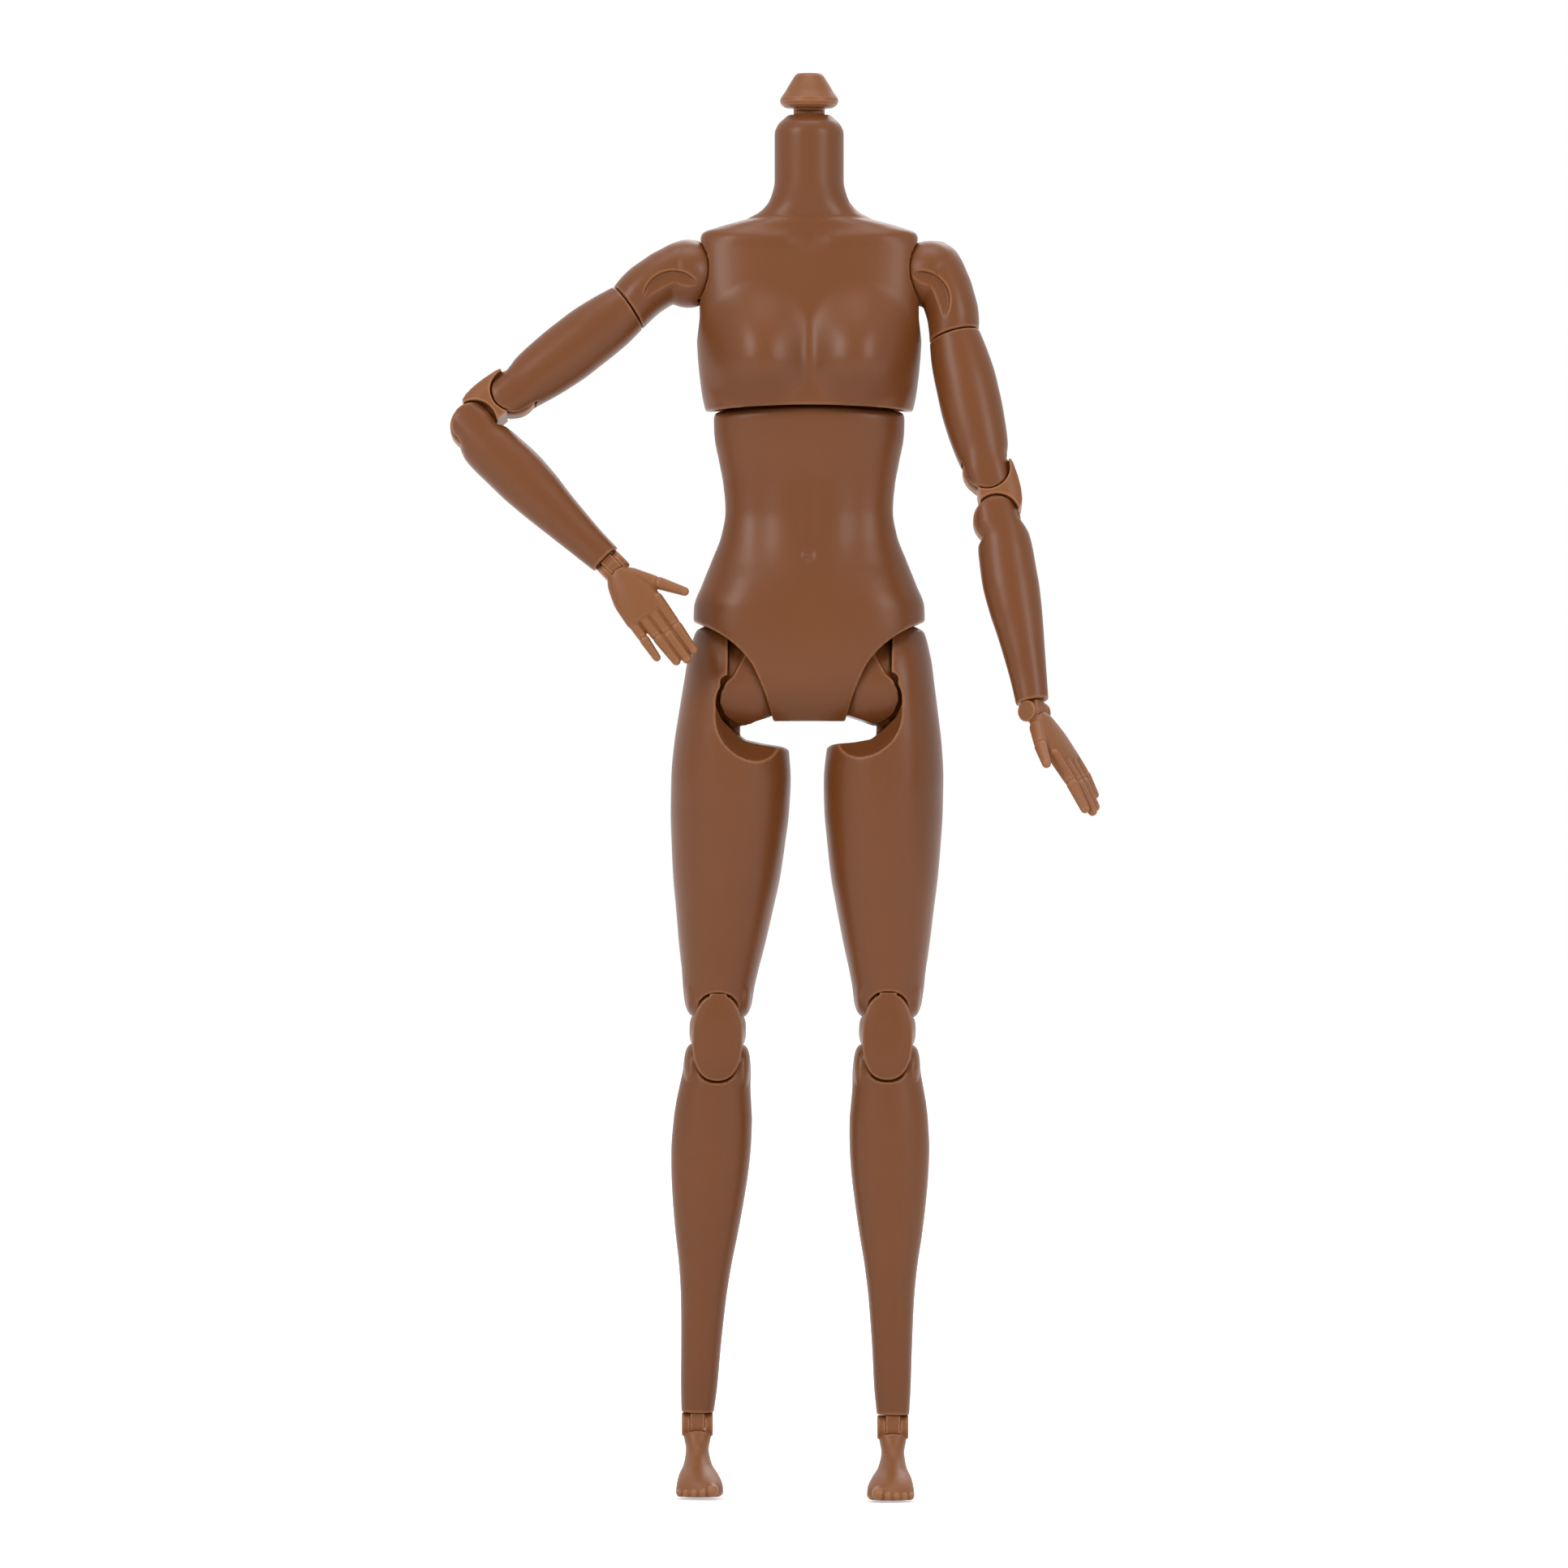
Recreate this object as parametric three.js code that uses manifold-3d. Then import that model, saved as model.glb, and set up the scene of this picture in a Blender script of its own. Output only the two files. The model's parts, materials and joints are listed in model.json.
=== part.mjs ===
// An articulated one-sixth fashion doll body, without its head, standing with one hand on its hip.
// Millimetres, +Z up. The doll faces -Y, and its own left side is +X.
// Each limb is drawn for the left side in its own frame, hanging straight down from its upper joint,
// and is mirrored for the right side. The nested groups then put both sides in their rest pose.

import * as THREE from 'three';
import { mergeVertices } from 'three/addons/utils/BufferGeometryUtils.js';
import Module from 'manifold-3d';

const wasm = await Module();
wasm.setup();

// Fits
const PIN_FIT = 0.25; // between a hinge pin and its hole, all round
const GAP = 0.35; // between two faces that slide past each other
const SEAM = 0.2; // between the front and back shells of the torso

// Joint places on the body, each measured from the one below it
const HIP_HEIGHT = 151.7;
const HIP_HALF_SPAN = 15.3;
const WAIST_ABOVE_HIP = 43.3;
const RIM_ABOVE_WAIST = 6.9;
const SHOULDER_ABOVE_RIM = 25.7;
const SHOULDER_HALF_SPAN = 22.5;
const NECK_LENGTH = 29.7; // from the height of the shoulders
const NOD_DEPTH = 4; // below the top of the neck
const WAIST_HEIGHT = HIP_HEIGHT + WAIST_ABOVE_HIP;
const CHEST_RIM_HEIGHT = WAIST_HEIGHT + RIM_ABOVE_WAIST;
const SHOULDER_HEIGHT = CHEST_RIM_HEIGHT + SHOULDER_ABOVE_RIM;
const NECK_TOP = SHOULDER_HEIGHT + NECK_LENGTH;
const NOD_HEIGHT = NECK_TOP - NOD_DEPTH;

// Lengths between the joints of a limb
const UPPER_ARM_LENGTH = 39.8;
const CAP_LENGTH = 13;
const ELBOW_LINK_LENGTH = 9.8;
const FOREARM_LENGTH = 37.2;
const THIGH_LENGTH = 57.8;
const KNEE_LINK_LENGTH = 14.5;
const SHIN_LENGTH = 66.4;
const ANKLE_HEIGHT = 13;
const HAND_LENGTH = 22.8;
const PALM_LENGTH = 11;
const KNEE_OFFSET = 0.5; // of the knee outward from the hip
const ANKLE_OFFSET = 2.4; // of the ankle outward from the knee

// Torso
const NECK_RADIUS = 6.5;
const NECK_POST_RADIUS = 4.3;
const NECK_BORE_DEPTH = 14;
const NECK_LIP = 1.1; // the neck's rim over the post
const KNOB_CLEARANCE = 1.3; // the knob above the neck
const NOD_PIN_HALF = 3.9;
const KEEL_HALF_WIDTH = 6.5;
const KNOB_RADIUS = 5.45;
const KNOB_HEIGHT = 6.4;
const STEM_RADIUS = 1.9;
const NOD_TONGUE_HALF = 1.65;
const NOD_PIN_RADIUS = 0.8;
const WAIST_STEM_RADIUS = 2.4;
const WAIST_DISC_RADIUS = 5;
const WAIST_DISC_THICKNESS = 2;
const WAIST_FLOOR_THICKNESS = 2.6;
const WAIST_KNUCKLE_RADIUS = 3.6;
const WAIST_KNUCKLE_HALF = 2.3;
const WAIST_PIN_RADIUS = 1.2;
const WAIST_PIN_HALF = 8;
const WAIST_BEND_ANGLE = 20;
const WAIST_SLOT_HEIGHT = 15;

// Shoulder
const SHOULDER_BALL_RADIUS = 6.3;
const SHOULDER_KNUCKLE_RADIUS = 4.4;
const SHOULDER_KNUCKLE_HALF = 1.9;
const SHOULDER_AXLE_RADIUS = 1.9;
const SHOULDER_FLANGE_RADIUS = 3.2;
const SHOULDER_FLANGE_THICKNESS = 1.4;
const SHOULDER_BLOCK_INNER = 14;
const SHOULDER_FLAT = 20.4; // the chest's side beside the arm, from the middle of the doll
const SHOULDER_FLAT_RADIUS = 10.5;
const SHOULDER_PIN_RADIUS = 1;
const SHOULDER_PIN_HALF = 4.6;
const SWIVEL_PEG_RADIUS = 1.8;
const SWIVEL_HEAD_RADIUS = 2.6;
const SWIVEL_PEG_LENGTH = 5.6;
const SWIVEL_HEAD_THICKNESS = 1.8;
const LOWEST_LIFT = 5;
const HIGHEST_LIFT = 100;
const RECESS_RADIUS = 5.5; // the arched hollow in the front and back of the cap
const RECESS_HALF_DEPTH = 3.2;

// Elbow
const ELBOW_END_RADIUS = 4.05;
const ELBOW_END_HALF = 4.2;
const ELBOW_TONGUE_RADIUS = 4.4;
const ELBOW_TONGUE_HALF = 1.5;
const ELBOW_HALF_DEPTH = 4.1;
const ELBOW_PIN_RADIUS = 0.75;
const ELBOW_PIN_HALF = 3.5;
const UPPER_FOLD = 26; // how far round the upper hinge the link needs room, in degrees
const LOWER_FOLD = 80;

// Wrist
const WRIST_EAR_RADIUS = 1.95;
const WRIST_TONGUE_HALF = 0.95;
const WRIST_HALF_WIDTH = 2.5;
const WRIST_PIN_RADIUS = 0.55;
const WRIST_PEG_RADIUS = 1.2;
const WRIST_PEG_HEAD = 1.7;
const WRIST_PEG_LENGTH = 5;
const WRIST_HEAD_THICKNESS = 1.4;
const HAND_LEAN = 9; // of the palm and fingers towards the little finger, in degrees

// Hip
const HIP_CUP_RADIUS = 9.05;
const HIP_COVER_RADIUS = 11.1;
const HIP_AXLE_RADIUS = 1.6;
const HIP_AXLE_HALF = 11;
const HIP_PIN_RADIUS = 1;
const HIP_PIN_HALF = 6.2;
const HIP_TONGUE_HALF = 1.9;
const HIP_TONGUE_RADIUS = 3.2;
const HIP_TONGUE_HALF_WIDTH = 2.6;

// Knee
const KNEE_END_RADIUS = 4.6;
const KNEE_TONGUE_RADIUS = 4.3;
const KNEE_TONGUE_HALF = 2.3;
const KNEE_HALF_WIDTH = 6.1;
const KNEE_WAIST_HALF = 5.3;
const KNEE_PIN_RADIUS = 0.9;
const KNEE_PIN_HALF = 4.9;
const KNEECAP_HALF_WIDTH = 4.9;
const KNEECAP_HALF_HEIGHT = 8.4;
const KNEECAP_THICKNESS = 2.1;

// Ankle
const ANKLE_EAR_RADIUS = 2.2;
const ANKLE_TONGUE_HALF = 1.1;
const ANKLE_HALF_WIDTH = 2.9;
const ANKLE_PIN_RADIUS = 0.6;
const ANKLE_PEG_RADIUS = 1.4;
const ANKLE_PEG_HEAD = 1.95;
const ANKLE_PEG_LENGTH = 5.2;
const ANKLE_HEAD_THICKNESS = 1.2;
const ANKLE_SLOT_HALF = 3.2;

// Rest pose in degrees. The swings are about X, and a negative one is forward.
const LEFT_ARM = { swing: -15, lift: 15, upperElbow: 3.7, lowerElbow: 0.9, twist: 50, wrist: -20 };
const RIGHT_ARM = { swing: -13, lift: 54.5, upperElbow: 5.7, lowerElbow: 93, twist: 6, wrist: -4 };
const LEFT_LEG = { swing: -1.5, spread: -1.1 };
const RIGHT_LEG = { swing: 1.5, spread: 1.1 };

const DEGREE = Math.PI / 180;
const FAR = 60; // half the size of a cutting block that must pass right through
const CUT = 0.5; // how far a cutter runs past the face that it opens

// Colours from the photograph
const SKIN = { color: 0x8a583a, roughness: 0.42, metalness: 0 };
const SOFT_SKIN = { color: 0x9c6847, roughness: 0.5, metalness: 0 };
const STEEL = { color: 0x9a9a9e, roughness: 0.35, metalness: 1 };

// Closed three.js geometry as a solid that can be joined and cut.
function solid(geometry) {
  const bare = new THREE.BufferGeometry();
  bare.setAttribute('position', geometry.attributes.position.clone());
  if (geometry.index) {
    bare.setIndex(geometry.index.clone());
  }
  const merged = mergeVertices(bare, 1e-4);
  const vertProperties = merged.attributes.position.array;
  const triVerts = Uint32Array.from(merged.index.array);
  return new wasm.Manifold(new wasm.Mesh({ numProp: 3, vertProperties, triVerts }));
}

function joined(...solids) {
  return solids.reduce((all, next) => all.add(next));
}

// A closed body through oval sections along Z. A station holds its place (at), centre (x, y), half
// width (w), half depth in front (f) and behind (b), and how square its corners are (p, 2 is an oval).
// A body drawn down hangs from the origin, and lean turns it about Y, in degrees.
function loft(profile, { sides = 12, down = false, lean = 0 } = {}) {
  const stations = profile.map((s) => ({ x: 0, y: 0, b: s.f, p: 2, ...s }));
  if (down) {
    stations.reverse();
  }
  const points = [];
  stations.forEach(({ at, x, y, w, f, b, p }) => {
    for (let side = 0; side < sides; side += 1) {
      const angle = (2 * Math.PI * side) / sides;
      const across = Math.sign(Math.cos(angle)) * Math.abs(Math.cos(angle)) ** (2 / p);
      const along = Math.sign(Math.sin(angle)) * Math.abs(Math.sin(angle)) ** (2 / p);
      points.push(x + w * across, y + (along < 0 ? f : b) * along, down ? -at : at);
    }
  });
  const rings = stations.length;
  const centre = (ring) => {
    const middle = [0, 0, 0];
    for (let side = 0; side < sides; side += 1) {
      middle.forEach((_, k) => {
        middle[k] += points[3 * (ring * sides + side) + k] / sides;
      });
    }
    return middle;
  };
  points.push(...centre(0), ...centre(rings - 1));
  const index = [];
  for (let side = 0; side < sides; side += 1) {
    const next = (side + 1) % sides;
    index.push(rings * sides, next, side);
    index.push(rings * sides + 1, (rings - 1) * sides + side, (rings - 1) * sides + next);
    for (let ring = 0; ring < rings - 1; ring += 1) {
      const low = ring * sides;
      const high = low + sides;
      index.push(low + side, low + next, high + next);
      index.push(low + side, high + next, high + side);
    }
  }
  const geometry = new THREE.BufferGeometry();
  geometry.setAttribute('position', new THREE.Float32BufferAttribute(points, 3));
  geometry.setIndex(index);
  return solid(geometry.rotateY(lean * DEGREE));
}

// A round bar along one axis between two places, through the point (x, y, z).
function rod(axis, radius, from, to, [x, y, z] = [0, 0, 0], sides = 10) {
  const geometry = new THREE.CylinderGeometry(radius, radius, to - from, sides);
  geometry.translate(0, (from + to) / 2, 0);
  if (axis === 'x') {
    geometry.rotateZ(-90 * DEGREE);
  }
  if (axis === 'z') {
    geometry.rotateX(90 * DEGREE);
  }
  return solid(geometry.translate(x, y, z));
}

function block([x0, x1], [y0, y1], [z0, z1]) {
  const geometry = new THREE.BoxGeometry(x1 - x0, y1 - y0, z1 - z0);
  return solid(geometry.translate((x0 + x1) / 2, (y0 + y1) / 2, (z0 + z1) / 2));
}

function ball(radius, [x, y, z] = [0, 0, 0], [sx, sy, sz] = [1, 1, 1], sides = 14) {
  const geometry = new THREE.SphereGeometry(radius, sides, Math.round(sides * 0.6));
  return solid(geometry.scale(sx, sy, sz).rotateX(90 * DEGREE).translate(x, y, z));
}

// A flat outline in the XZ plane, given thickness from one Y to another.
function plateY(shape, from, to, curveSegments = 8) {
  const geometry = new THREE.ExtrudeGeometry(shape, { depth: to - from, bevelEnabled: false, curveSegments });
  return solid(geometry.rotateX(90 * DEGREE).translate(0, to, 0));
}

// A flat outline in the YZ plane, given thickness from one X to another.
function plateX(shape, from, to, curveSegments = 8) {
  const geometry = new THREE.ExtrudeGeometry(shape, { depth: to - from, bevelEnabled: false, curveSegments });
  const turn = new THREE.Matrix4().makeBasis(
    new THREE.Vector3(0, 1, 0),
    new THREE.Vector3(0, 0, 1),
    new THREE.Vector3(1, 0, 0),
  );
  return solid(geometry.applyMatrix4(turn).translate(from, 0, 0));
}

function outline(points) {
  return new THREE.Shape(points.map(([x, y]) => new THREE.Vector2(x, y)));
}

// A round body turned about the X axis from [place along X, radius] points that start and end on it.
function turnedX(profile, [x, y, z], sides) {
  const points = profile.map(([along, radius]) => new THREE.Vector2(radius, along));
  const geometry = new THREE.LatheGeometry(points, sides);
  return solid(geometry.rotateZ(-90 * DEGREE).translate(x, y, z));
}

// A round body turned about the Z axis from [radius, height] points that start and end on it.
function turnedZ(profile, sides = 16) {
  const points = profile.map(([radius, height]) => new THREE.Vector2(radius, height));
  return solid(new THREE.LatheGeometry(points, sides).rotateX(90 * DEGREE));
}

// The points of an arc about a centre. Angles are in degrees from the first axis of the outline.
function arc([cx, cy], radius, from, to, count) {
  const points = [];
  for (let i = 0; i <= count; i += 1) {
    const angle = (from + ((to - from) * i) / count) * DEGREE;
    points.push([cx + radius * Math.cos(angle), cy + radius * Math.sin(angle)]);
  }
  return points;
}

function mesh(name, body, look, side = 1) {
  const { vertProperties, triVerts } = body.getMesh();
  const geometry = new THREE.BufferGeometry();
  const positions = Float32Array.from(vertProperties, (value, i) => (i % 3 === 0 ? value * side : value));
  const index = Array.from(triVerts);
  if (side < 0) {
    index.reverse();
  }
  geometry.setAttribute('position', new THREE.BufferAttribute(positions, 3));
  geometry.setIndex(index);
  const material = new THREE.MeshStandardMaterial(look);
  material.flatShading = true;
  const result = new THREE.Mesh(geometry, material);
  result.name = name;
  return result;
}

// A joint of the skeleton: what hangs from it is placed and turned with it.
function joint(parent, [x, y, z], [turnX, turnY, turnZ] = [0, 0, 0]) {
  const group = new THREE.Group();
  group.position.set(x, y, z);
  group.rotation.set(turnX * DEGREE, turnY * DEGREE, turnZ * DEGREE);
  parent.add(group);
  return group;
}

const front = block([-FAR, FAR], [-FAR, -SEAM / 2], [0, 5 * FAR]);
const back = block([-FAR, FAR], [SEAM / 2, FAR], [0, 5 * FAR]);

// Chest and neck, hollow, with the two shoulder sockets
function makeChest() {
  const rise = SHOULDER_HEIGHT - CHEST_RIM_HEIGHT;
  const level = (share) => CHEST_RIM_HEIGHT + share * rise;
  const shell = loft([
    { at: level(0), w: 19.3, f: 11.2, b: 9.4, p: 2.4 },
    { at: level(0.13), w: 20, f: 11.8, b: 9.7, p: 2.5 },
    { at: level(0.42), w: 20.8, f: 11.4, b: 10.2, p: 2.6 },
    { at: level(0.7), w: 21.1, f: 10, b: 10.4, p: 2.8 },
    { at: level(1), w: 20.8, f: 8.6, b: 9.9, p: 3 },
    { at: level(1.2), w: 20.5, f: 7.4, b: 9, p: 3 },
    { at: level(1.29), w: 20, f: 6.7, b: 8.4, p: 2.8 },
    { at: level(1.335), w: 17.3, f: 6.3, b: 7.9, p: 2.6 },
    { at: level(1.375), w: 13.8, f: 6, b: 7.5, p: 2.4 },
    { at: level(1.41), w: 10.2, f: 5.6, b: 7, p: 2.2 },
  ], { sides: 20 });
  const neckFoot = SHOULDER_HEIGHT + 8.7;
  const neck = loft([
    { at: neckFoot, w: NECK_RADIUS + 4.1, f: 5.6, b: 6.8 },
    { at: neckFoot + 2.4, w: NECK_RADIUS + 2.9, f: 5.8, b: 6.6 },
    { at: neckFoot + 4.4, w: NECK_RADIUS + 1.3, f: 6, b: NECK_RADIUS - 0.1 },
    { at: neckFoot + 6.5, w: NECK_RADIUS + 0.4, f: 6.2, b: NECK_RADIUS - 0.1 },
    { at: neckFoot + 8.5, w: NECK_RADIUS, f: NECK_RADIUS - 0.2, b: NECK_RADIUS - 0.1 },
    { at: NECK_TOP - 3.6, w: NECK_RADIUS, f: NECK_RADIUS - 0.2, b: NECK_RADIUS - 0.1 },
    { at: NECK_TOP - 1.8, w: NECK_RADIUS - 0.7, f: NECK_RADIUS - 0.8, b: NECK_RADIUS - 0.7 },
    { at: NECK_TOP - 0.9, w: NECK_RADIUS - 1.6, f: NECK_RADIUS - 1.7, b: NECK_RADIUS - 1.6 },
    { at: NECK_TOP, w: NECK_RADIUS - 2.6, f: NECK_RADIUS - 2.7, b: NECK_RADIUS - 2.6 },
  ], { sides: 14 });
  const bust = [-1, 1].map((side) => ball(7.6, [side * 9.6, -8, level(0.44)], [1, 0.86, 1.02]));
  let body = joined(shell, neck, ...bust);

  const floorTop = level(0.52);
  const floorBottom = floorTop - WAIST_FLOOR_THICKNESS;
  const lowerRoom = loft([
    { at: CHEST_RIM_HEIGHT - CUT, w: 18.2, f: 10.1, b: 8.3, p: 2.4 },
    { at: level(0.2), w: 18.6, f: 10.6, b: 8.8, p: 2.4 },
    { at: floorBottom, w: 15.5, f: 9.6, b: 8.8, p: 2.4 },
  ]);
  const roomHalf = SHOULDER_BLOCK_INNER;
  const upperRoom = block([-roomHalf, roomHalf], [-5.8, 6.6], [floorTop, level(1.24)]);
  const stemHole = rod('z', WAIST_STEM_RADIUS + GAP, floorBottom - CUT, floorTop + CUT);
  const bore = rod('z', NECK_POST_RADIUS + GAP, NECK_TOP - NECK_BORE_DEPTH, NECK_TOP - NECK_LIP);
  const mouth = rod('z', STEM_RADIUS + 1.4, NECK_TOP - NECK_LIP - CUT, NECK_TOP + CUT);
  body = body.subtract(joined(lowerRoom, upperRoom, stemHole, bore, mouth));
  [-1, 1].forEach((side) => {
    const centre = [side * SHOULDER_HALF_SPAN, 0, SHOULDER_HEIGHT];
    const hole = [SHOULDER_BLOCK_INNER - CUT, SHOULDER_HALF_SPAN].map((x) => side * x).sort((a, b) => a - b);
    body = body.subtract(ball(SHOULDER_BALL_RADIUS + GAP, centre));
    body = body.subtract(rod('x', SHOULDER_AXLE_RADIUS + PIN_FIT, hole[0], hole[1], [0, 0, SHOULDER_HEIGHT]));
    const flat = [SHOULDER_FLAT, FAR].map((x) => side * x).sort((a, b) => a - b);
    body = body.subtract(rod('x', SHOULDER_FLAT_RADIUS, flat[0], flat[1], [0, 0, SHOULDER_HEIGHT], 16));
  });
  return body;
}

// Neck post: turns in the neck and carries the nod hinge
function makeNeckPost() {
  const seat = NECK_TOP - NECK_BORE_DEPTH + GAP;
  const slotHalf = NOD_TONGUE_HALF + GAP;
  const slotFloor = NOD_HEIGHT - STEM_RADIUS - 2 * GAP;
  return rod('z', NECK_POST_RADIUS, seat, NECK_TOP - NECK_LIP - GAP, [0, 0, 0], 24)
    .subtract(block([-slotHalf, slotHalf], [-FAR, FAR], [slotFloor, NECK_TOP]))
    .subtract(rod('x', NOD_PIN_RADIUS + PIN_FIT, -FAR, FAR, [0, 0, NOD_HEIGHT]));
}

// Head knob: a cone that the head would be pressed over, on a stem with a flat tongue
function makeHeadKnob() {
  const foot = NECK_TOP + KNOB_CLEARANCE;
  const knob = turnedZ([
    [0, foot + KNOB_HEIGHT],
    [2.2, foot + KNOB_HEIGHT],
    [2.7, foot + 0.93 * KNOB_HEIGHT],
    [3.6, foot + 0.7 * KNOB_HEIGHT],
    [4.5, foot + 0.46 * KNOB_HEIGHT],
    [KNOB_RADIUS - 0.1, foot + 0.27 * KNOB_HEIGHT],
    [KNOB_RADIUS, foot + 0.18 * KNOB_HEIGHT],
    [KNOB_RADIUS - 0.3, foot + 0.08 * KNOB_HEIGHT],
    [4.5, foot],
    [2.9, foot - 0.1],
    [2.9, foot - 0.5],
    [STEM_RADIUS, foot - 0.6],
    [STEM_RADIUS, NOD_HEIGHT],
    [0, NOD_HEIGHT],
  ].reverse());
  const tongueSlab = block([-NOD_TONGUE_HALF, NOD_TONGUE_HALF], [-FAR, FAR], [0, NECK_TOP]);
  const above = block([-FAR, FAR], [-FAR, FAR], [NECK_TOP - 2, 5 * FAR]);
  return knob.add(rod('x', STEM_RADIUS, -NOD_TONGUE_HALF, NOD_TONGUE_HALF, [0, 0, NOD_HEIGHT]))
    .intersect(tongueSlab.add(above))
    .subtract(rod('x', NOD_PIN_RADIUS + PIN_FIT, -FAR, FAR, [0, 0, NOD_HEIGHT]));
}

// The waist post bends on a pin in the abdomen and its disc turns on the floor inside the chest.
function makeWaistPost() {
  const discBottom = CHEST_RIM_HEIGHT + 0.52 * (SHOULDER_HEIGHT - CHEST_RIM_HEIGHT) + GAP;
  const half = WAIST_KNUCKLE_HALF;
  const knuckle = rod('x', WAIST_KNUCKLE_RADIUS, -half, half, [0, 0, WAIST_HEIGHT]);
  const stem = rod('z', WAIST_STEM_RADIUS, WAIST_HEIGHT, discBottom + CUT);
  const disc = rod('z', WAIST_DISC_RADIUS, discBottom, discBottom + WAIST_DISC_THICKNESS);
  return joined(knuckle, stem, disc)
    .subtract(rod('x', WAIST_PIN_RADIUS + PIN_FIT, -FAR, FAR, [0, 0, WAIST_HEIGHT]));
}

// Abdomen and pelvis, hollow, with the dome that the chest sits over and the openings for the legs
function makePelvis() {
  const rise = WAIST_HEIGHT - HIP_HEIGHT;
  const level = (share) => HIP_HEIGHT + share * rise;
  const shell = loft([
    { at: level(-0.171), w: 15, f: 6, b: 6, p: 2.2 },
    { at: level(-0.109), w: 18, f: 8.6, b: 9.2, p: 2.2 },
    { at: level(-0.04), w: 20, f: 10.2, b: 11.8, p: 2.2 },
    { at: level(0.076), w: 21.3, f: 11.2, b: 13.2, p: 2.3 },
    { at: level(0.19), w: 21.6, f: 11.5, b: 13.4, p: 2.3 },
    { at: level(0.314), w: 21.5, f: 11.2, b: 12.6, p: 2.3 },
    { at: level(0.42), w: 19.9, f: 10.4, b: 11, p: 2.2 },
    { at: level(0.524), w: 18.1, f: 9.2, b: 9.3, p: 2.2 },
    { at: level(0.628), w: 16.4, f: 8.2, b: 8, p: 2.2 },
    { at: level(0.734), w: 15.65, f: 7.6, b: 7.2, p: 2.2 },
    { at: level(0.838), w: 16, f: 7.6, b: 7.3, p: 2.2 },
    { at: level(0.942), w: 16.8, f: 8, b: 7.6, p: 2.2 },
    { at: WAIST_HEIGHT + 2.4, w: 17.7, f: 8.3, b: 7.9, p: 2.2 },
    { at: WAIST_HEIGHT + 4.6, w: 17.6, f: 8.3, b: 7.9, p: 2.2 },
    { at: WAIST_HEIGHT + 6, w: 16.6, f: 7.5, b: 6.9 },
    { at: WAIST_HEIGHT + 7.2, w: 13.4, f: 6.4, b: 6 },
    { at: WAIST_HEIGHT + 9, w: 10.8, f: 5.3, b: 5.1 },
    { at: WAIST_HEIGHT + 10.6, w: 7, f: 4.2, b: 4 },
  ], { sides: 20 });
  const room = loft([
    { at: level(0.3), w: 12.5, f: 8.4, b: 9, p: 2.2 },
    { at: level(0.42), w: 15.5, f: 8.2, b: 8.8, p: 2.2 },
    { at: level(0.628), w: 13.6, f: 6.2, b: 6, p: 2.2 },
    { at: level(0.84), w: 13.2, f: 5.8, b: 5.4, p: 2.2 },
  ]);

  const waist = [0, 0, WAIST_HEIGHT];
  const knuckleHalf = WAIST_KNUCKLE_HALF + GAP;
  const knuckleRoom = rod('x', WAIST_KNUCKLE_RADIUS + GAP, -knuckleHalf, knuckleHalf, waist);
  const stemRoom = WAIST_STEM_RADIUS + GAP;
  const swing = (WAIST_SLOT_HEIGHT + 1) * Math.tan((WAIST_BEND_ANGLE + 2) * DEGREE);
  const wedge = plateX(outline([
    [-stemRoom, WAIST_HEIGHT - 1],
    [stemRoom, WAIST_HEIGHT - 1],
    [stemRoom + swing, WAIST_HEIGHT + WAIST_SLOT_HEIGHT],
    [-stemRoom - swing, WAIST_HEIGHT + WAIST_SLOT_HEIGHT],
  ]), -stemRoom, stemRoom);
  const pinHole = rod('x', WAIST_PIN_RADIUS + PIN_FIT, -WAIST_PIN_HALF - GAP, WAIST_PIN_HALF + GAP, waist);
  const axleHole = rod('x', HIP_AXLE_RADIUS + PIN_FIT, -FAR, FAR, [0, 0, HIP_HEIGHT]);
  let body = shell.subtract(joined(room, knuckleRoom, wedge, pinHole, axleHole));

  // The line of the leg opening seen from the front, from its outer end to the keel
  const legLine = new THREE.CatmullRomCurve3([
    [5.7, 10.9], [2.4, 9.4], [-1.4, 6.8], [-4.4, 3.3], [-6.7, -1.5], [-8.2, -6],
  ].map(([x, z]) => new THREE.Vector3(x, z, 0)));
  const inner = KEEL_HALF_WIDTH - HIP_HALF_SPAN;
  const opening = [
    [12, 11.6],
    ...legLine.getPoints(12).map((p) => [Math.max(p.x, inner), p.y]),
    [inner, -8],
    [inner, -20],
    [12, -20],
  ];
  const clear = HIP_COVER_RADIUS + 2 * GAP;
  [-1, 1].forEach((side) => {
    const placed = opening.map(([x, z]) => [side * (HIP_HALF_SPAN + x), HIP_HEIGHT + z]);
    body = body.subtract(plateY(outline(side > 0 ? placed : placed.reverse()), -FAR, FAR));
    const socket = [[inner + 0.1, 0], [inner + 0.1, 6.9], [-6.3, 7.6], [-6.2, clear], [14, clear], [14, 0]];
    const turned = side > 0 ? socket : socket.map(([x, r]) => [-x, r]).reverse();
    body = body.subtract(turnedX(turned, [side * HIP_HALF_SPAN, 0, HIP_HEIGHT], 24));
  });
  return body;
}

// Shoulder knuckle: an axle that turns in the chest and a flat head that the cap is hinged on
function makeShoulderKnuckle() {
  const wall = SHOULDER_BLOCK_INNER - SHOULDER_HALF_SPAN;
  const axle = rod('x', SHOULDER_AXLE_RADIUS, wall - SHOULDER_FLANGE_THICKNESS, 0);
  const flange = rod('x', SHOULDER_FLANGE_RADIUS, wall - GAP - SHOULDER_FLANGE_THICKNESS, wall - GAP);
  const head = rod('y', SHOULDER_KNUCKLE_RADIUS, -SHOULDER_KNUCKLE_HALF, SHOULDER_KNUCKLE_HALF);
  return joined(axle, flange, head).subtract(rod('y', SHOULDER_PIN_RADIUS + PIN_FIT, -FAR, FAR));
}

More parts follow.
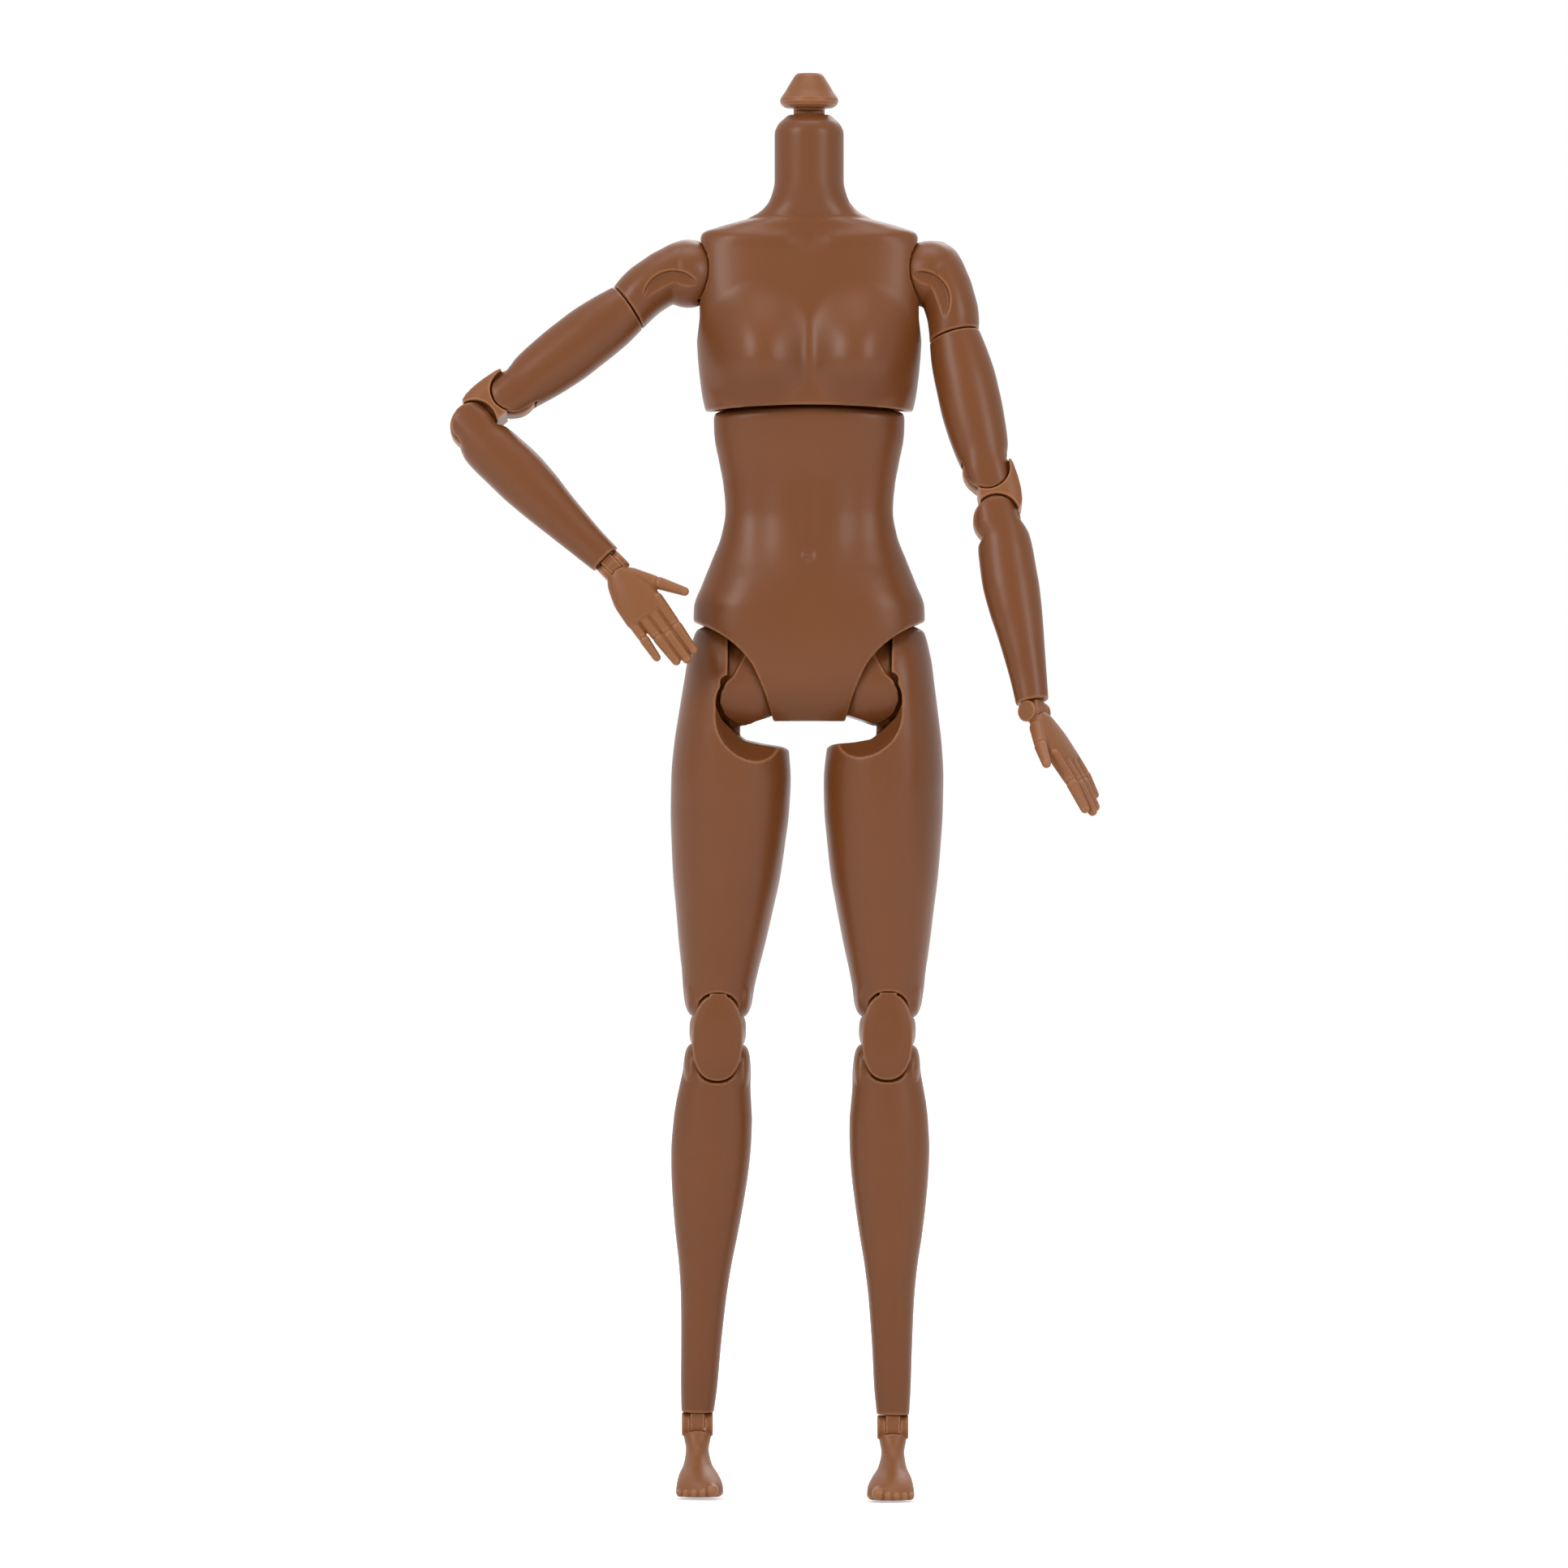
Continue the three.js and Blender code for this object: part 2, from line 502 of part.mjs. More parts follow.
// Shoulder cap: a ball end hinged on the knuckle, swelling into the top of the arm
function makeShoulderCap() {
  const end = CAP_LENGTH - GAP / 2;
  const muscle = loft([
    { at: -4.6, x: 0.9, w: 3.3, f: 3.2 },
    { at: -2, x: 1, w: 4.9, f: 5 },
    { at: 0.5, x: 1, w: 5.2, f: 5.8 },
    { at: 3, x: 1.5, w: 5.2, f: 6 },
    { at: 0.42 * end, x: 2, w: 4.9, f: 6 },
    { at: 0.6 * end, x: 2.1, w: 4.9, f: 5.9 },
    { at: 0.83 * end, x: 1.75, w: 4.85, f: 5.6 },
    { at: end, x: 1.2, w: 4.75, f: 5.1 },
  ], { down: true });
  const slotHalf = SHOULDER_KNUCKLE_HALF + GAP;
  const axleHalf = SHOULDER_AXLE_RADIUS + GAP;
  const way = (lift, radius) => [-radius * Math.cos(lift * DEGREE), radius * Math.sin(lift * DEGREE)];
  const fan = [];
  for (let lift = LOWEST_LIFT; lift <= HIGHEST_LIFT; lift += 19) {
    fan.push(way(lift, 12));
  }
  const [lowX, lowZ] = way(LOWEST_LIFT - 90, axleHalf);
  const [highX, highZ] = way(HIGHEST_LIFT + 90, axleHalf);
  const first = fan[0];
  const last = fan[fan.length - 1];
  const slot = plateY(outline([
    [lowX, lowZ],
    [highX, highZ],
    [last[0] + highX, last[1] + highZ],
    ...fan.reverse(),
    [first[0] + lowX, first[1] + lowZ],
  ].reverse()), -slotHalf, slotHalf);
  const headRoom = rod('y', SHOULDER_KNUCKLE_RADIUS + GAP, -slotHalf, slotHalf);
  const pinHole = rod('y', SHOULDER_PIN_RADIUS + PIN_FIT, -SHOULDER_PIN_HALF - GAP, SHOULDER_PIN_HALF + GAP);
  const pegTop = -CAP_LENGTH + SWIVEL_PEG_LENGTH;
  const pegBore = rod('z', SWIVEL_PEG_RADIUS + GAP, -CAP_LENGTH - 1, pegTop + GAP);
  const headBore = rod('z', SWIVEL_HEAD_RADIUS + GAP, pegTop - SWIVEL_HEAD_THICKNESS - GAP, pegTop + GAP);
  const recesses = [[-FAR, -RECESS_HALF_DEPTH], [RECESS_HALF_DEPTH, FAR]].map(([from, to]) => {
    return rod('y', RECESS_RADIUS, from, to, [-3.6, 0, -6], 20);
  });
  return ball(SHOULDER_BALL_RADIUS).add(muscle)
    .subtract(joined(slot, headRoom, pinHole, pegBore, headBore, ...recesses));
}

// The outline, seen along a double hinge, that keeps a limb's end clear of the link when it bends.
// It lies about the hinge on the side that the joint folds to.
function foldRoom(radius, fold) {
  const outer = radius + 5;
  const open = 36;
  const inside = arc([0, 0], radius, 90, 180 + fold - open, 7);
  const outside = arc([0, 0], outer, 180 + fold - open, 90, 3);
  return [...inside, ...outside];
}

// Upper arm: from the swivel cut to the upper elbow hinge, with its peg in the shoulder cap
function makeUpperArm() {
  const top = GAP / 2;
  const length = UPPER_ARM_LENGTH - CAP_LENGTH;
  const limb = loft([
    { at: top, x: 1.2, w: 4.8, f: 5.1 },
    { at: 0.16 * length, x: 1.05, w: 5.4, f: 5.4 },
    { at: 0.33 * length, x: 0.95, w: 5.7, f: 5.5 },
    { at: 0.5 * length, x: 0.7, w: 5.75, f: 5.3 },
    { at: 0.68 * length, x: 0.5, w: 5.5, f: 5 },
    { at: 0.84 * length, x: 0.35, w: 5, f: 4.6 },
    { at: 0.93 * length, x: 0.1, w: 4.4, f: 4.4 },
    { at: length, w: ELBOW_END_RADIUS, f: 4.3 },
  ], { down: true });
  const hinge = [0, 0, -length];
  const end = rod('y', ELBOW_END_RADIUS, -ELBOW_END_HALF, ELBOW_END_HALF, hinge, 16);
  const peg = rod('z', SWIVEL_PEG_RADIUS, -1, SWIVEL_PEG_LENGTH);
  const head = rod('z', SWIVEL_HEAD_RADIUS, SWIVEL_PEG_LENGTH - SWIVEL_HEAD_THICKNESS, SWIVEL_PEG_LENGTH);
  const slotHalf = ELBOW_TONGUE_HALF + GAP;
  const slotTop = -length + ELBOW_TONGUE_RADIUS + GAP;
  const slot = block([-FAR, FAR], [-slotHalf, slotHalf], [slotTop - 2 * FAR, slotTop]);
  const fold = foldRoom(ELBOW_END_RADIUS, UPPER_FOLD).map(([x, z]) => [x, -z - length]).reverse();
  const foldCut = plateY(outline(fold), -FAR, FAR);
  const pinHole = rod('y', ELBOW_PIN_RADIUS + PIN_FIT, -ELBOW_PIN_HALF - GAP, ELBOW_PIN_HALF + GAP, hinge);
  return limb.subtract(foldCut).add(end).add(joined(peg, head)).subtract(joined(slot, pinHole));
}

// Elbow link: a flat knuckle at each end, and between them the elbow that shows from outside
function makeElbowLink() {
  const lower = [0, 0, -ELBOW_LINK_LENGTH];
  const half = ELBOW_TONGUE_HALF;
  const knuckles = [[0, 0, 0], lower].map((at) => rod('y', ELBOW_TONGUE_RADIUS, -half, half, at, 14));
  const bridge = block([-2.4, 2.4], [-half, half], [-ELBOW_LINK_LENGTH, 0]);
  const reach = ELBOW_END_RADIUS + GAP;
  const span = ELBOW_LINK_LENGTH;
  const elbow = outline([
    ...arc([0, 0], reach, 10, -124, 8),
    ...arc([0, -span], reach, 124, 16, 7),
    [reach + 0.53, -0.86 * span],
    [reach + 0.95, -0.72 * span],
    [reach + 1.15, -0.5 * span],
    [reach + 1.05, -0.25 * span],
    [reach + 0.7, 0],
    [reach + 0.35, 1],
  ].reverse());
  const body = plateY(elbow, -ELBOW_HALF_DEPTH, ELBOW_HALF_DEPTH);
  const holes = [[0, 0, 0], lower].map((at) => rod('y', ELBOW_PIN_RADIUS + PIN_FIT, -FAR, FAR, at));
  return joined(...knuckles, bridge, body).subtract(joined(...holes));
}

// Forearm: from the lower elbow hinge to the wrist
function makeForearm() {
  const end = FOREARM_LENGTH - WRIST_EAR_RADIUS - GAP;
  const limb = loft([
    { at: 0, w: ELBOW_END_RADIUS, f: 4.3 },
    { at: 0.045 * end, x: 0.3, w: 4.5, f: 4.4 },
    { at: 0.1 * end, x: 0.6, w: 4.85, f: 4.5 },
    { at: 0.18 * end, x: 0.5, w: 5.1, f: 4.6 },
    { at: 0.34 * end, x: 0.3, w: 5.2, f: 4.6 },
    { at: 0.48 * end, x: 0.3, w: 4.9, f: 4.4 },
    { at: 0.6 * end, x: 0.35, w: 4.4, f: 4 },
    { at: 0.74 * end, x: 0.3, w: 3.85, f: 3.6 },
    { at: 0.87 * end, x: 0.2, w: 3.4, f: 3.1 },
    { at: end, w: 3.05, f: 2.8 },
  ], { down: true });
  const top = rod('y', ELBOW_END_RADIUS, -ELBOW_END_HALF, ELBOW_END_HALF, [0, 0, 0], 16);
  const slotHalf = ELBOW_TONGUE_HALF + GAP;
  const slot = block([-FAR, FAR], [-slotHalf, slotHalf], [-ELBOW_TONGUE_RADIUS - GAP, FAR]);
  const foldCut = plateY(outline(foldRoom(ELBOW_END_RADIUS, LOWER_FOLD)), -FAR, FAR);
  const pinHole = rod('y', ELBOW_PIN_RADIUS + PIN_FIT, -ELBOW_PIN_HALF - GAP, ELBOW_PIN_HALF + GAP);
  const deep = -FOREARM_LENGTH + WRIST_PEG_LENGTH;
  const pegBore = rod('z', WRIST_PEG_RADIUS + GAP, -FAR, deep + GAP);
  const headBore = rod('z', WRIST_PEG_HEAD + GAP, deep - WRIST_HEAD_THICKNESS - GAP, deep + GAP);
  return limb.subtract(foldCut).add(top).subtract(joined(slot, pinHole, pegBore, headBore));
}

// Wrist peg: turns in the forearm and carries the hand's hinge
function makeWristPeg() {
  const half = WRIST_TONGUE_HALF;
  const neck = rod('z', WRIST_PEG_RADIUS, -0.2, WRIST_PEG_LENGTH);
  const slab = block([-half, half], [-FAR, FAR], [-FAR, WRIST_EAR_RADIUS]);
  const above = block([-FAR, FAR], [-FAR, FAR], [WRIST_EAR_RADIUS - 0.1, FAR]);
  const head = rod('z', WRIST_PEG_HEAD, WRIST_PEG_LENGTH - WRIST_HEAD_THICKNESS, WRIST_PEG_LENGTH);
  const eye = rod('x', WRIST_EAR_RADIUS - 0.3, -half, half);
  return neck.intersect(slab.add(above)).add(head).add(eye)
    .subtract(rod('x', WRIST_PIN_RADIUS + PIN_FIT, -FAR, FAR));
}

// A tapering round finger from one point to another, with a rounded tip, leaning as the hand does
function finger(start, end, thick, thin) {
  const from = new THREE.Vector3(...start);
  const to = new THREE.Vector3(...end);
  const length = from.distanceTo(to);
  const profile = [[0, 0], [thick, 0], [thin, length - thin], [0.6 * thin, length - 0.2 * thin], [0, length]];
  const points = profile.map(([radius, along]) => new THREE.Vector2(radius, along));
  const geometry = new THREE.LatheGeometry(points, 6);
  const direction = to.sub(from).normalize();
  const turn = new THREE.Quaternion().setFromUnitVectors(new THREE.Vector3(0, 1, 0), direction);
  return solid(geometry.applyQuaternion(turn).translate(...start).rotateY(-HAND_LEAN * DEGREE));
}

// Hand: palm behind, thumb towards the body, with a fork for the wrist peg
function makeHand() {
  const palm = loft([
    { at: 1.2, w: 2.1, f: 1.7 },
    { at: 2.6, x: 0.1, w: 2.9, f: 1.9 },
    { at: 0.4 * PALM_LENGTH, x: 0.1, w: 3.5, f: 1.9 },
    { at: 0.65 * PALM_LENGTH, x: 0.1, w: 4.1, f: 1.8 },
    { at: PALM_LENGTH, x: 0.1, w: 4.2, f: 1.4 },
    { at: PALM_LENGTH + 0.8, x: 0.1, w: 3.6, f: 0.9 },
  ], { sides: 10, down: true, lean: -HAND_LEAN });
  const fingers = [
    [-3.1, -3, 0.97, 1.2],
    [-1, -1.1, 1, 1.25],
    [1.1, 0.7, 0.96, 1.2],
    [3.1, 3.3, 0.84, 1.05],
  ].map(([rootX, tipX, reach, thick]) => finger(
    [rootX, 0, -PALM_LENGTH + 1.2],
    [tipX, 0.9, -HAND_LENGTH * reach],
    thick,
    0.72 * thick,
  ));
  const thumb = finger([-1.8, 0.2, -3.4], [-7.9, -0.4, -1.02 * PALM_LENGTH], 1.55, 1.05);
  const ears = rod('x', WRIST_EAR_RADIUS, -WRIST_HALF_WIDTH, WRIST_HALF_WIDTH);
  const slotHalf = WRIST_TONGUE_HALF + GAP;
  const slot = block([-slotHalf, slotHalf], [-FAR, FAR], [-WRIST_EAR_RADIUS - GAP, FAR]);
  const pinHole = rod('x', WRIST_PIN_RADIUS + PIN_FIT, -FAR, FAR);
  return joined(palm, thumb, ...fingers, ears).subtract(joined(slot, pinHole));
}

// Hip ball: turns on the axle through the keel, and the thigh is hinged in its slot
function makeHipBall() {
  const inner = KEEL_HALF_WIDTH + GAP - HIP_HALF_SPAN;
  const barrel = turnedX([
    [inner, 0], [inner, 6.4], [-6.3, 7.1], [-4.3, 7.7], [-2.2, 8.3], [0, 8.65], [1.6, 8.2],
    [2.9, 6.9], [4.1, 5], [5.1, 2.8], [5.5, 0],
  ], [0, 0, 0], 16);
  const slotHalf = HIP_TONGUE_HALF + GAP;
  const half = HIP_TONGUE_HALF_WIDTH + GAP;
  const reach = 12;
  const fan = plateY(outline([
    [-half, 0],
    [-half - reach * Math.tan(8 * DEGREE), -reach],
    [half + reach * Math.tan(32 * DEGREE), -reach],
    [half + 1.4, 0],
  ]), -slotHalf, slotHalf);
  const eye = rod('y', HIP_TONGUE_RADIUS + GAP, -slotHalf, slotHalf);
  const pinHole = rod('y', HIP_PIN_RADIUS + PIN_FIT, -HIP_PIN_HALF - GAP, HIP_PIN_HALF + GAP);
  const axleHole = rod('x', HIP_AXLE_RADIUS + PIN_FIT, -FAR, HIP_AXLE_HALF + GAP - HIP_HALF_SPAN);
  return barrel.subtract(joined(fan, eye, pinHole, axleHole));
}

// The room for the knee link's tongue in the thigh or the shin, about a hinge at (x, z)
function kneeSlot([x, z], up) {
  const slotHalf = KNEE_TONGUE_HALF + GAP;
  const reach = KNEE_TONGUE_RADIUS + 2 * GAP;
  const range = up ? [z - reach, FAR] : [z - FAR, z + reach];
  return block([x - slotHalf, x + slotHalf], [-FAR, FAR], range);
}

// The outline of the kneecap about its middle, or with extra room round it
function kneecapOutline([x, z], extra) {
  const shape = new THREE.Shape();
  shape.absellipse(x, z, KNEECAP_HALF_WIDTH + extra, KNEECAP_HALF_HEIGHT + extra, 0, 2 * Math.PI);
  return shape;
}

function kneecapRoom(middle) {
  return plateY(kneecapOutline(middle, GAP), -FAR, -KNEE_END_RADIUS - 0.1);
}

// Thigh: a cup over the hip ball, and a fork for the knee link
function makeThigh() {
  const share = (part) => part * THIGH_LENGTH;
  const limb = loft([
    { at: -10.9, x: 2.2, w: 2, f: 2.4, b: 2.4 },
    { at: -10.2, x: 1.2, w: 4.4, f: 4.6, b: 4.6 },
    { at: -9.1, x: -0.4, w: 6.4, f: 6.4, b: 6.4 },
    { at: -4.5, x: -1, w: 8.3, f: 9.8, b: 9.9 },
    { at: 0, x: -1, w: 9, f: 10.7, b: 11, p: 2.1 },
    { at: share(0.12), x: -1, w: 10, f: 11.3, b: 11.7, p: 2.1 },
    { at: share(0.21), x: -1.02, w: 10.7, f: 11.5, b: 11.8, p: 2.1 },
    { at: share(0.32), x: -1.08, w: 11.15, f: 11.4, b: 11.4, p: 2.1 },
    { at: share(0.42), x: -0.98, w: 11.04, f: 11.1, b: 10.8 },
    { at: share(0.52), x: -0.8, w: 10.6, f: 10.6, b: 10 },
    { at: share(0.63), x: -0.6, w: 9.98, f: 9.9, b: 9.1 },
    { at: share(0.73), x: -0.34, w: 9.1, f: 9, b: 8 },
    { at: share(0.84), x: 0, w: 8.1, f: 8, b: 6.6 },
    { at: share(0.94), x: 0.32, w: 7.1, f: 7, b: 5 },
    { at: share(1), x: KNEE_OFFSET, w: 6.6, f: 6.5, b: 4.5 },
  ], { sides: 14, down: true });
  const trimmed = limb.intersect(joined(
    ball(HIP_COVER_RADIUS),
    block([-FAR, FAR], [-FAR, FAR], [-2 * FAR, -1.5]),
  ));
  const groin = plateY(outline([
    [0, 20], [-20, 20], [-20, -11.8], [-11.5, -12.1], [-6.65, -12.7],
    [-1.4, -9.9], [1.6, -4.4], [1.6, -2], [0, 3.8],
  ]), -FAR, FAR);
  const cup = ball(HIP_CUP_RADIUS)
    .intersect(block([-FAR, 6.1], [-FAR, FAR], [-FAR, FAR]));
  const tongueWidth = [-HIP_TONGUE_HALF_WIDTH, HIP_TONGUE_HALF_WIDTH];
  const tongue = joined(
    block(tongueWidth, [-HIP_TONGUE_HALF, HIP_TONGUE_HALF], [-HIP_CUP_RADIUS - 2, 0]),
    rod('y', HIP_TONGUE_RADIUS, -HIP_TONGUE_HALF, HIP_TONGUE_HALF),
  ).subtract(rod('y', HIP_PIN_RADIUS + PIN_FIT, -FAR, FAR));

  const knee = [KNEE_OFFSET, 0, -THIGH_LENGTH];
  const end = rod('x', KNEE_END_RADIUS, -KNEE_HALF_WIDTH, KNEE_HALF_WIDTH, knee, 16);
  const slot = kneeSlot([KNEE_OFFSET, -THIGH_LENGTH], false);
  const cap = kneecapRoom([KNEE_OFFSET, -THIGH_LENGTH - KNEE_LINK_LENGTH / 2]);
  const pinHole = rod('x', KNEE_PIN_RADIUS + PIN_FIT, -KNEE_PIN_HALF - GAP, KNEE_PIN_HALF + GAP, knee);
  return trimmed.subtract(groin).subtract(cup).add(tongue).add(end).subtract(joined(slot, cap, pinHole));
}

// Knee link: a tongue on each hinge, the kneecap in front and the knee's sides between them
function makeKneeLink() {
  const low = -KNEE_LINK_LENGTH;
  const middle = low / 2;
  const half = KNEE_TONGUE_HALF;
  const tongues = [[0, 0, 0], [0, 0, low]].map((at) => rod('x', KNEE_TONGUE_RADIUS, -half, half, at, 14));
  const reach = KNEE_END_RADIUS + GAP;
  const face = -reach - KNEECAP_THICKNESS;
  const bridge = block([-half, half], [-reach - 0.5, 2.4], [low, 0]);
  const shoulder = 0.76 * KNEECAP_HALF_HEIGHT;
  const waist = plateX(outline([
    [-reach - 0.5, middle + shoulder],
    ...arc([0, 0], reach, 180, 316, 8),
    ...arc([0, low], reach, 44, 180, 8),
    [-reach - 0.5, middle - shoulder],
  ]), -KNEE_WAIST_HALF, KNEE_WAIST_HALF);
  const cap = plateY(kneecapOutline([0, middle], 0), face, -reach);
  const holes = [[0, 0, 0], [0, 0, low]].map((at) => rod('x', KNEE_PIN_RADIUS + PIN_FIT, -FAR, FAR, at));
  const inside = plateY(kneecapOutline([0, middle], 0), -FAR, FAR);
  const rest = block([-FAR, FAR], [-reach, FAR], [-FAR, FAR]);
  return joined(...tongues, bridge, waist, cap).intersect(inside.add(rest)).subtract(joined(...holes));
}

// Shin: from the lower knee hinge to the ankle
function makeShin() {
  const end = SHIN_LENGTH - ANKLE_EAR_RADIUS - GAP;
  const share = (part) => part * end;
  const limb = loft([
    { at: 0, x: 0, w: 6.35, f: 5.6, b: 4.5 },
    { at: share(0.05), x: 0.3, w: 6.65, f: 5.8, b: 4.9 },
    { at: share(0.1), x: 0.5, w: 7.05, f: 5.8, b: 6.2 },
    { at: share(0.15), x: 0.6, w: 7.35, f: 5.8, b: 7.6 },
    { at: share(0.22), x: 0.8, w: 7.46, f: 5.6, b: 8.4 },
    { at: share(0.29), x: 0.95, w: 7.26, f: 5.4, b: 8.3 },
    { at: share(0.38), x: 1.15, w: 6.7, f: 5.1, b: 7.4 },
    { at: share(0.48), x: 1.35, w: 5.85, f: 4.7, b: 6.2 },
    { at: share(0.57), x: 1.5, w: 4.95, f: 4.3, b: 5.1 },
    { at: share(0.67), x: 1.7, w: 4.27, f: 3.9, b: 4.2 },
    { at: share(0.81), x: 2, w: 3.75, f: 3.5, b: 3.6 },
    { at: share(0.92), x: 2.2, w: 3.45, f: 3.2, b: 3.3 },
    { at: end, x: ANKLE_OFFSET, w: 3.05, f: 3, b: 3.05 },
  ], { down: true });
  const top = rod('x', KNEE_END_RADIUS, -KNEE_HALF_WIDTH, KNEE_HALF_WIDTH, [0, 0, 0], 16);
  const slot = kneeSlot([0, 0], true);
  const cap = kneecapRoom([0, KNEE_LINK_LENGTH / 2]);
  const pinHole = rod('x', KNEE_PIN_RADIUS + PIN_FIT, -KNEE_PIN_HALF - GAP, KNEE_PIN_HALF + GAP);
  const deep = -SHIN_LENGTH + ANKLE_PEG_LENGTH;
  const axis = [ANKLE_OFFSET, 0, 0];
  const pegBore = rod('z', ANKLE_PEG_RADIUS + GAP, -SHIN_LENGTH, deep + GAP, axis);
  const headBore = rod('z', ANKLE_PEG_HEAD + GAP, deep - ANKLE_HEAD_THICKNESS - GAP, deep + GAP, axis);
  return limb.add(top).subtract(joined(slot, cap, pinHole, pegBore, headBore));
}

// Ankle peg: turns in the shin and carries the foot's hinge
function makeAnklePeg() {
  const half = ANKLE_TONGUE_HALF;
  const slab = block([-half, half], [-FAR, FAR], [-FAR, ANKLE_EAR_RADIUS]);
  const above = block([-FAR, FAR], [-FAR, FAR], [ANKLE_EAR_RADIUS - 0.1, FAR]);
  const neck = rod('z', ANKLE_PEG_RADIUS, -0.2, ANKLE_PEG_LENGTH).intersect(slab.add(above));
  const head = rod('z', ANKLE_PEG_HEAD, ANKLE_PEG_LENGTH - ANKLE_HEAD_THICKNESS, ANKLE_PEG_LENGTH);
  const eye = rod('x', ANKLE_EAR_RADIUS - 0.3, -half, half);
  return joined(neck, head, eye).subtract(rod('x', ANKLE_PIN_RADIUS + PIN_FIT, -FAR, FAR));
}

// Foot: arched for a high heel, with a fork for the ankle peg
function makeFoot() {
  const share = (part) => part * ANKLE_HEIGHT;
  const body = loft([
    { at: 0.9, x: 0, y: 0, w: 2.7, f: 1.9, b: 1.9 },
    { at: share(0.2), x: 0, y: 0.1, w: 2.75, f: 2.9, b: 3 },
    { at: share(0.4), x: 0, y: -0.6, w: 2.7, f: 3.9, b: 4.1 },
    { at: share(0.55), x: -0.1, y: -3.2, w: 2.95, f: 4.4, b: 5.2 },
    { at: share(0.7), x: -0.3, y: -6.6, w: 3.7, f: 4.9, b: 5 },
    { at: share(0.83), x: -0.5, y: -9.9, w: 4.4, f: 5, b: 4.6 },
    { at: share(0.93), x: -0.6, y: -11.6, w: 4.5, f: 4.8, b: 4.4 },
    { at: ANKLE_HEIGHT, x: -0.6, y: -12.2, w: 3.9, f: 4.1, b: 3.6 },
  ], { down: true });
  const ears = rod('x', ANKLE_EAR_RADIUS, -ANKLE_HALF_WIDTH, ANKLE_HALF_WIDTH);
  const slotHalf = ANKLE_TONGUE_HALF + GAP;
  const slotDepth = [-ANKLE_SLOT_HALF, ANKLE_SLOT_HALF];
  const slot = block([-slotHalf, slotHalf], slotDepth, [-ANKLE_EAR_RADIUS - GAP, FAR]);
  const pinHole = rod('x', ANKLE_PIN_RADIUS + PIN_FIT, -FAR, FAR);
  return body.add(ears).subtract(joined(slot, pinHole));
}

const doll = new THREE.Group();

// Torso
const chest = makeChest();
const pelvis = makePelvis();
doll.add(mesh('pelvis_front', pelvis.intersect(front), SKIN));
doll.add(mesh('pelvis_back', pelvis.intersect(back), SKIN));
const crosswise = (radius, half, height) => rod('x', radius, -half, half, [0, 0, height]);
doll.add(mesh('waist_pin', crosswise(WAIST_PIN_RADIUS, WAIST_PIN_HALF, WAIST_HEIGHT), STEEL));
doll.add(mesh('hip_axle', crosswise(HIP_AXLE_RADIUS, HIP_AXLE_HALF, HIP_HEIGHT), STEEL));
doll.add(mesh('waist_post', makeWaistPost(), SKIN));
doll.add(mesh('chest_front', chest.intersect(front), SKIN));
doll.add(mesh('chest_back', chest.intersect(back), SKIN));
doll.add(mesh('neck_post', makeNeckPost(), SKIN));
doll.add(mesh('neck_pin', crosswise(NOD_PIN_RADIUS, NOD_PIN_HALF, NOD_HEIGHT), STEEL));
doll.add(mesh('head_knob', makeHeadKnob(), SOFT_SKIN));

// Arms, drawn once for the left side
const arm = {
  knuckle: makeShoulderKnuckle(),
  shoulderPin: rod('y', SHOULDER_PIN_RADIUS, -SHOULDER_PIN_HALF, SHOULDER_PIN_HALF),
  cap: makeShoulderCap(),
  upper: makeUpperArm(),
  elbowPin: rod('y', ELBOW_PIN_RADIUS, -ELBOW_PIN_HALF, ELBOW_PIN_HALF),
  link: makeElbowLink(),
  forearm: makeForearm(),
  wristPeg: makeWristPeg(),
  wristPin: rod('x', WRIST_PIN_RADIUS, 0.1 - WRIST_HALF_WIDTH, WRIST_HALF_WIDTH - 0.1),
  hand: makeHand(),
};

function addArm(name, side, pose) {
  const add = (parent, label, body, look = SKIN) => parent.add(mesh(`${name}_${label}`, body, look, side));
  const swing = joint(doll, [side * SHOULDER_HALF_SPAN, 0, SHOULDER_HEIGHT], [pose.swing, 0, 0]);
  add(swing, 'shoulder_knuckle', arm.knuckle);
  add(swing, 'shoulder_pin', arm.shoulderPin, STEEL);
  const lift = joint(swing, [0, 0, 0], [0, -side * pose.lift, 0]);
  add(lift, 'shoulder_cap', arm.cap);
  const swivel = joint(lift, [0, 0, -CAP_LENGTH]);
  add(swivel, 'upper_arm', arm.upper);
  const upperElbow = [0, 0, CAP_LENGTH - UPPER_ARM_LENGTH];
  add(joint(swivel, upperElbow), 'upper_elbow_pin', arm.elbowPin, STEEL);
  const link = joint(swivel, upperElbow, [0, side * pose.upperElbow, 0]);
  add(link, 'elbow_link', arm.link, SOFT_SKIN);
  const forearm = joint(link, [0, 0, -ELBOW_LINK_LENGTH], [0, side * pose.lowerElbow, 0]);
  add(forearm, 'forearm', arm.forearm);
  add(forearm, 'lower_elbow_pin', arm.elbowPin, STEEL);
  const twist = joint(forearm, [0, 0, -FOREARM_LENGTH], [0, 0, side * pose.twist]);
  add(twist, 'wrist_peg', arm.wristPeg, SOFT_SKIN);
  add(twist, 'wrist_pin', arm.wristPin, STEEL);
  const bend = joint(twist, [0, 0, 0], [pose.wrist, 0, 0]);
  add(bend, 'hand', arm.hand, SOFT_SKIN);
}

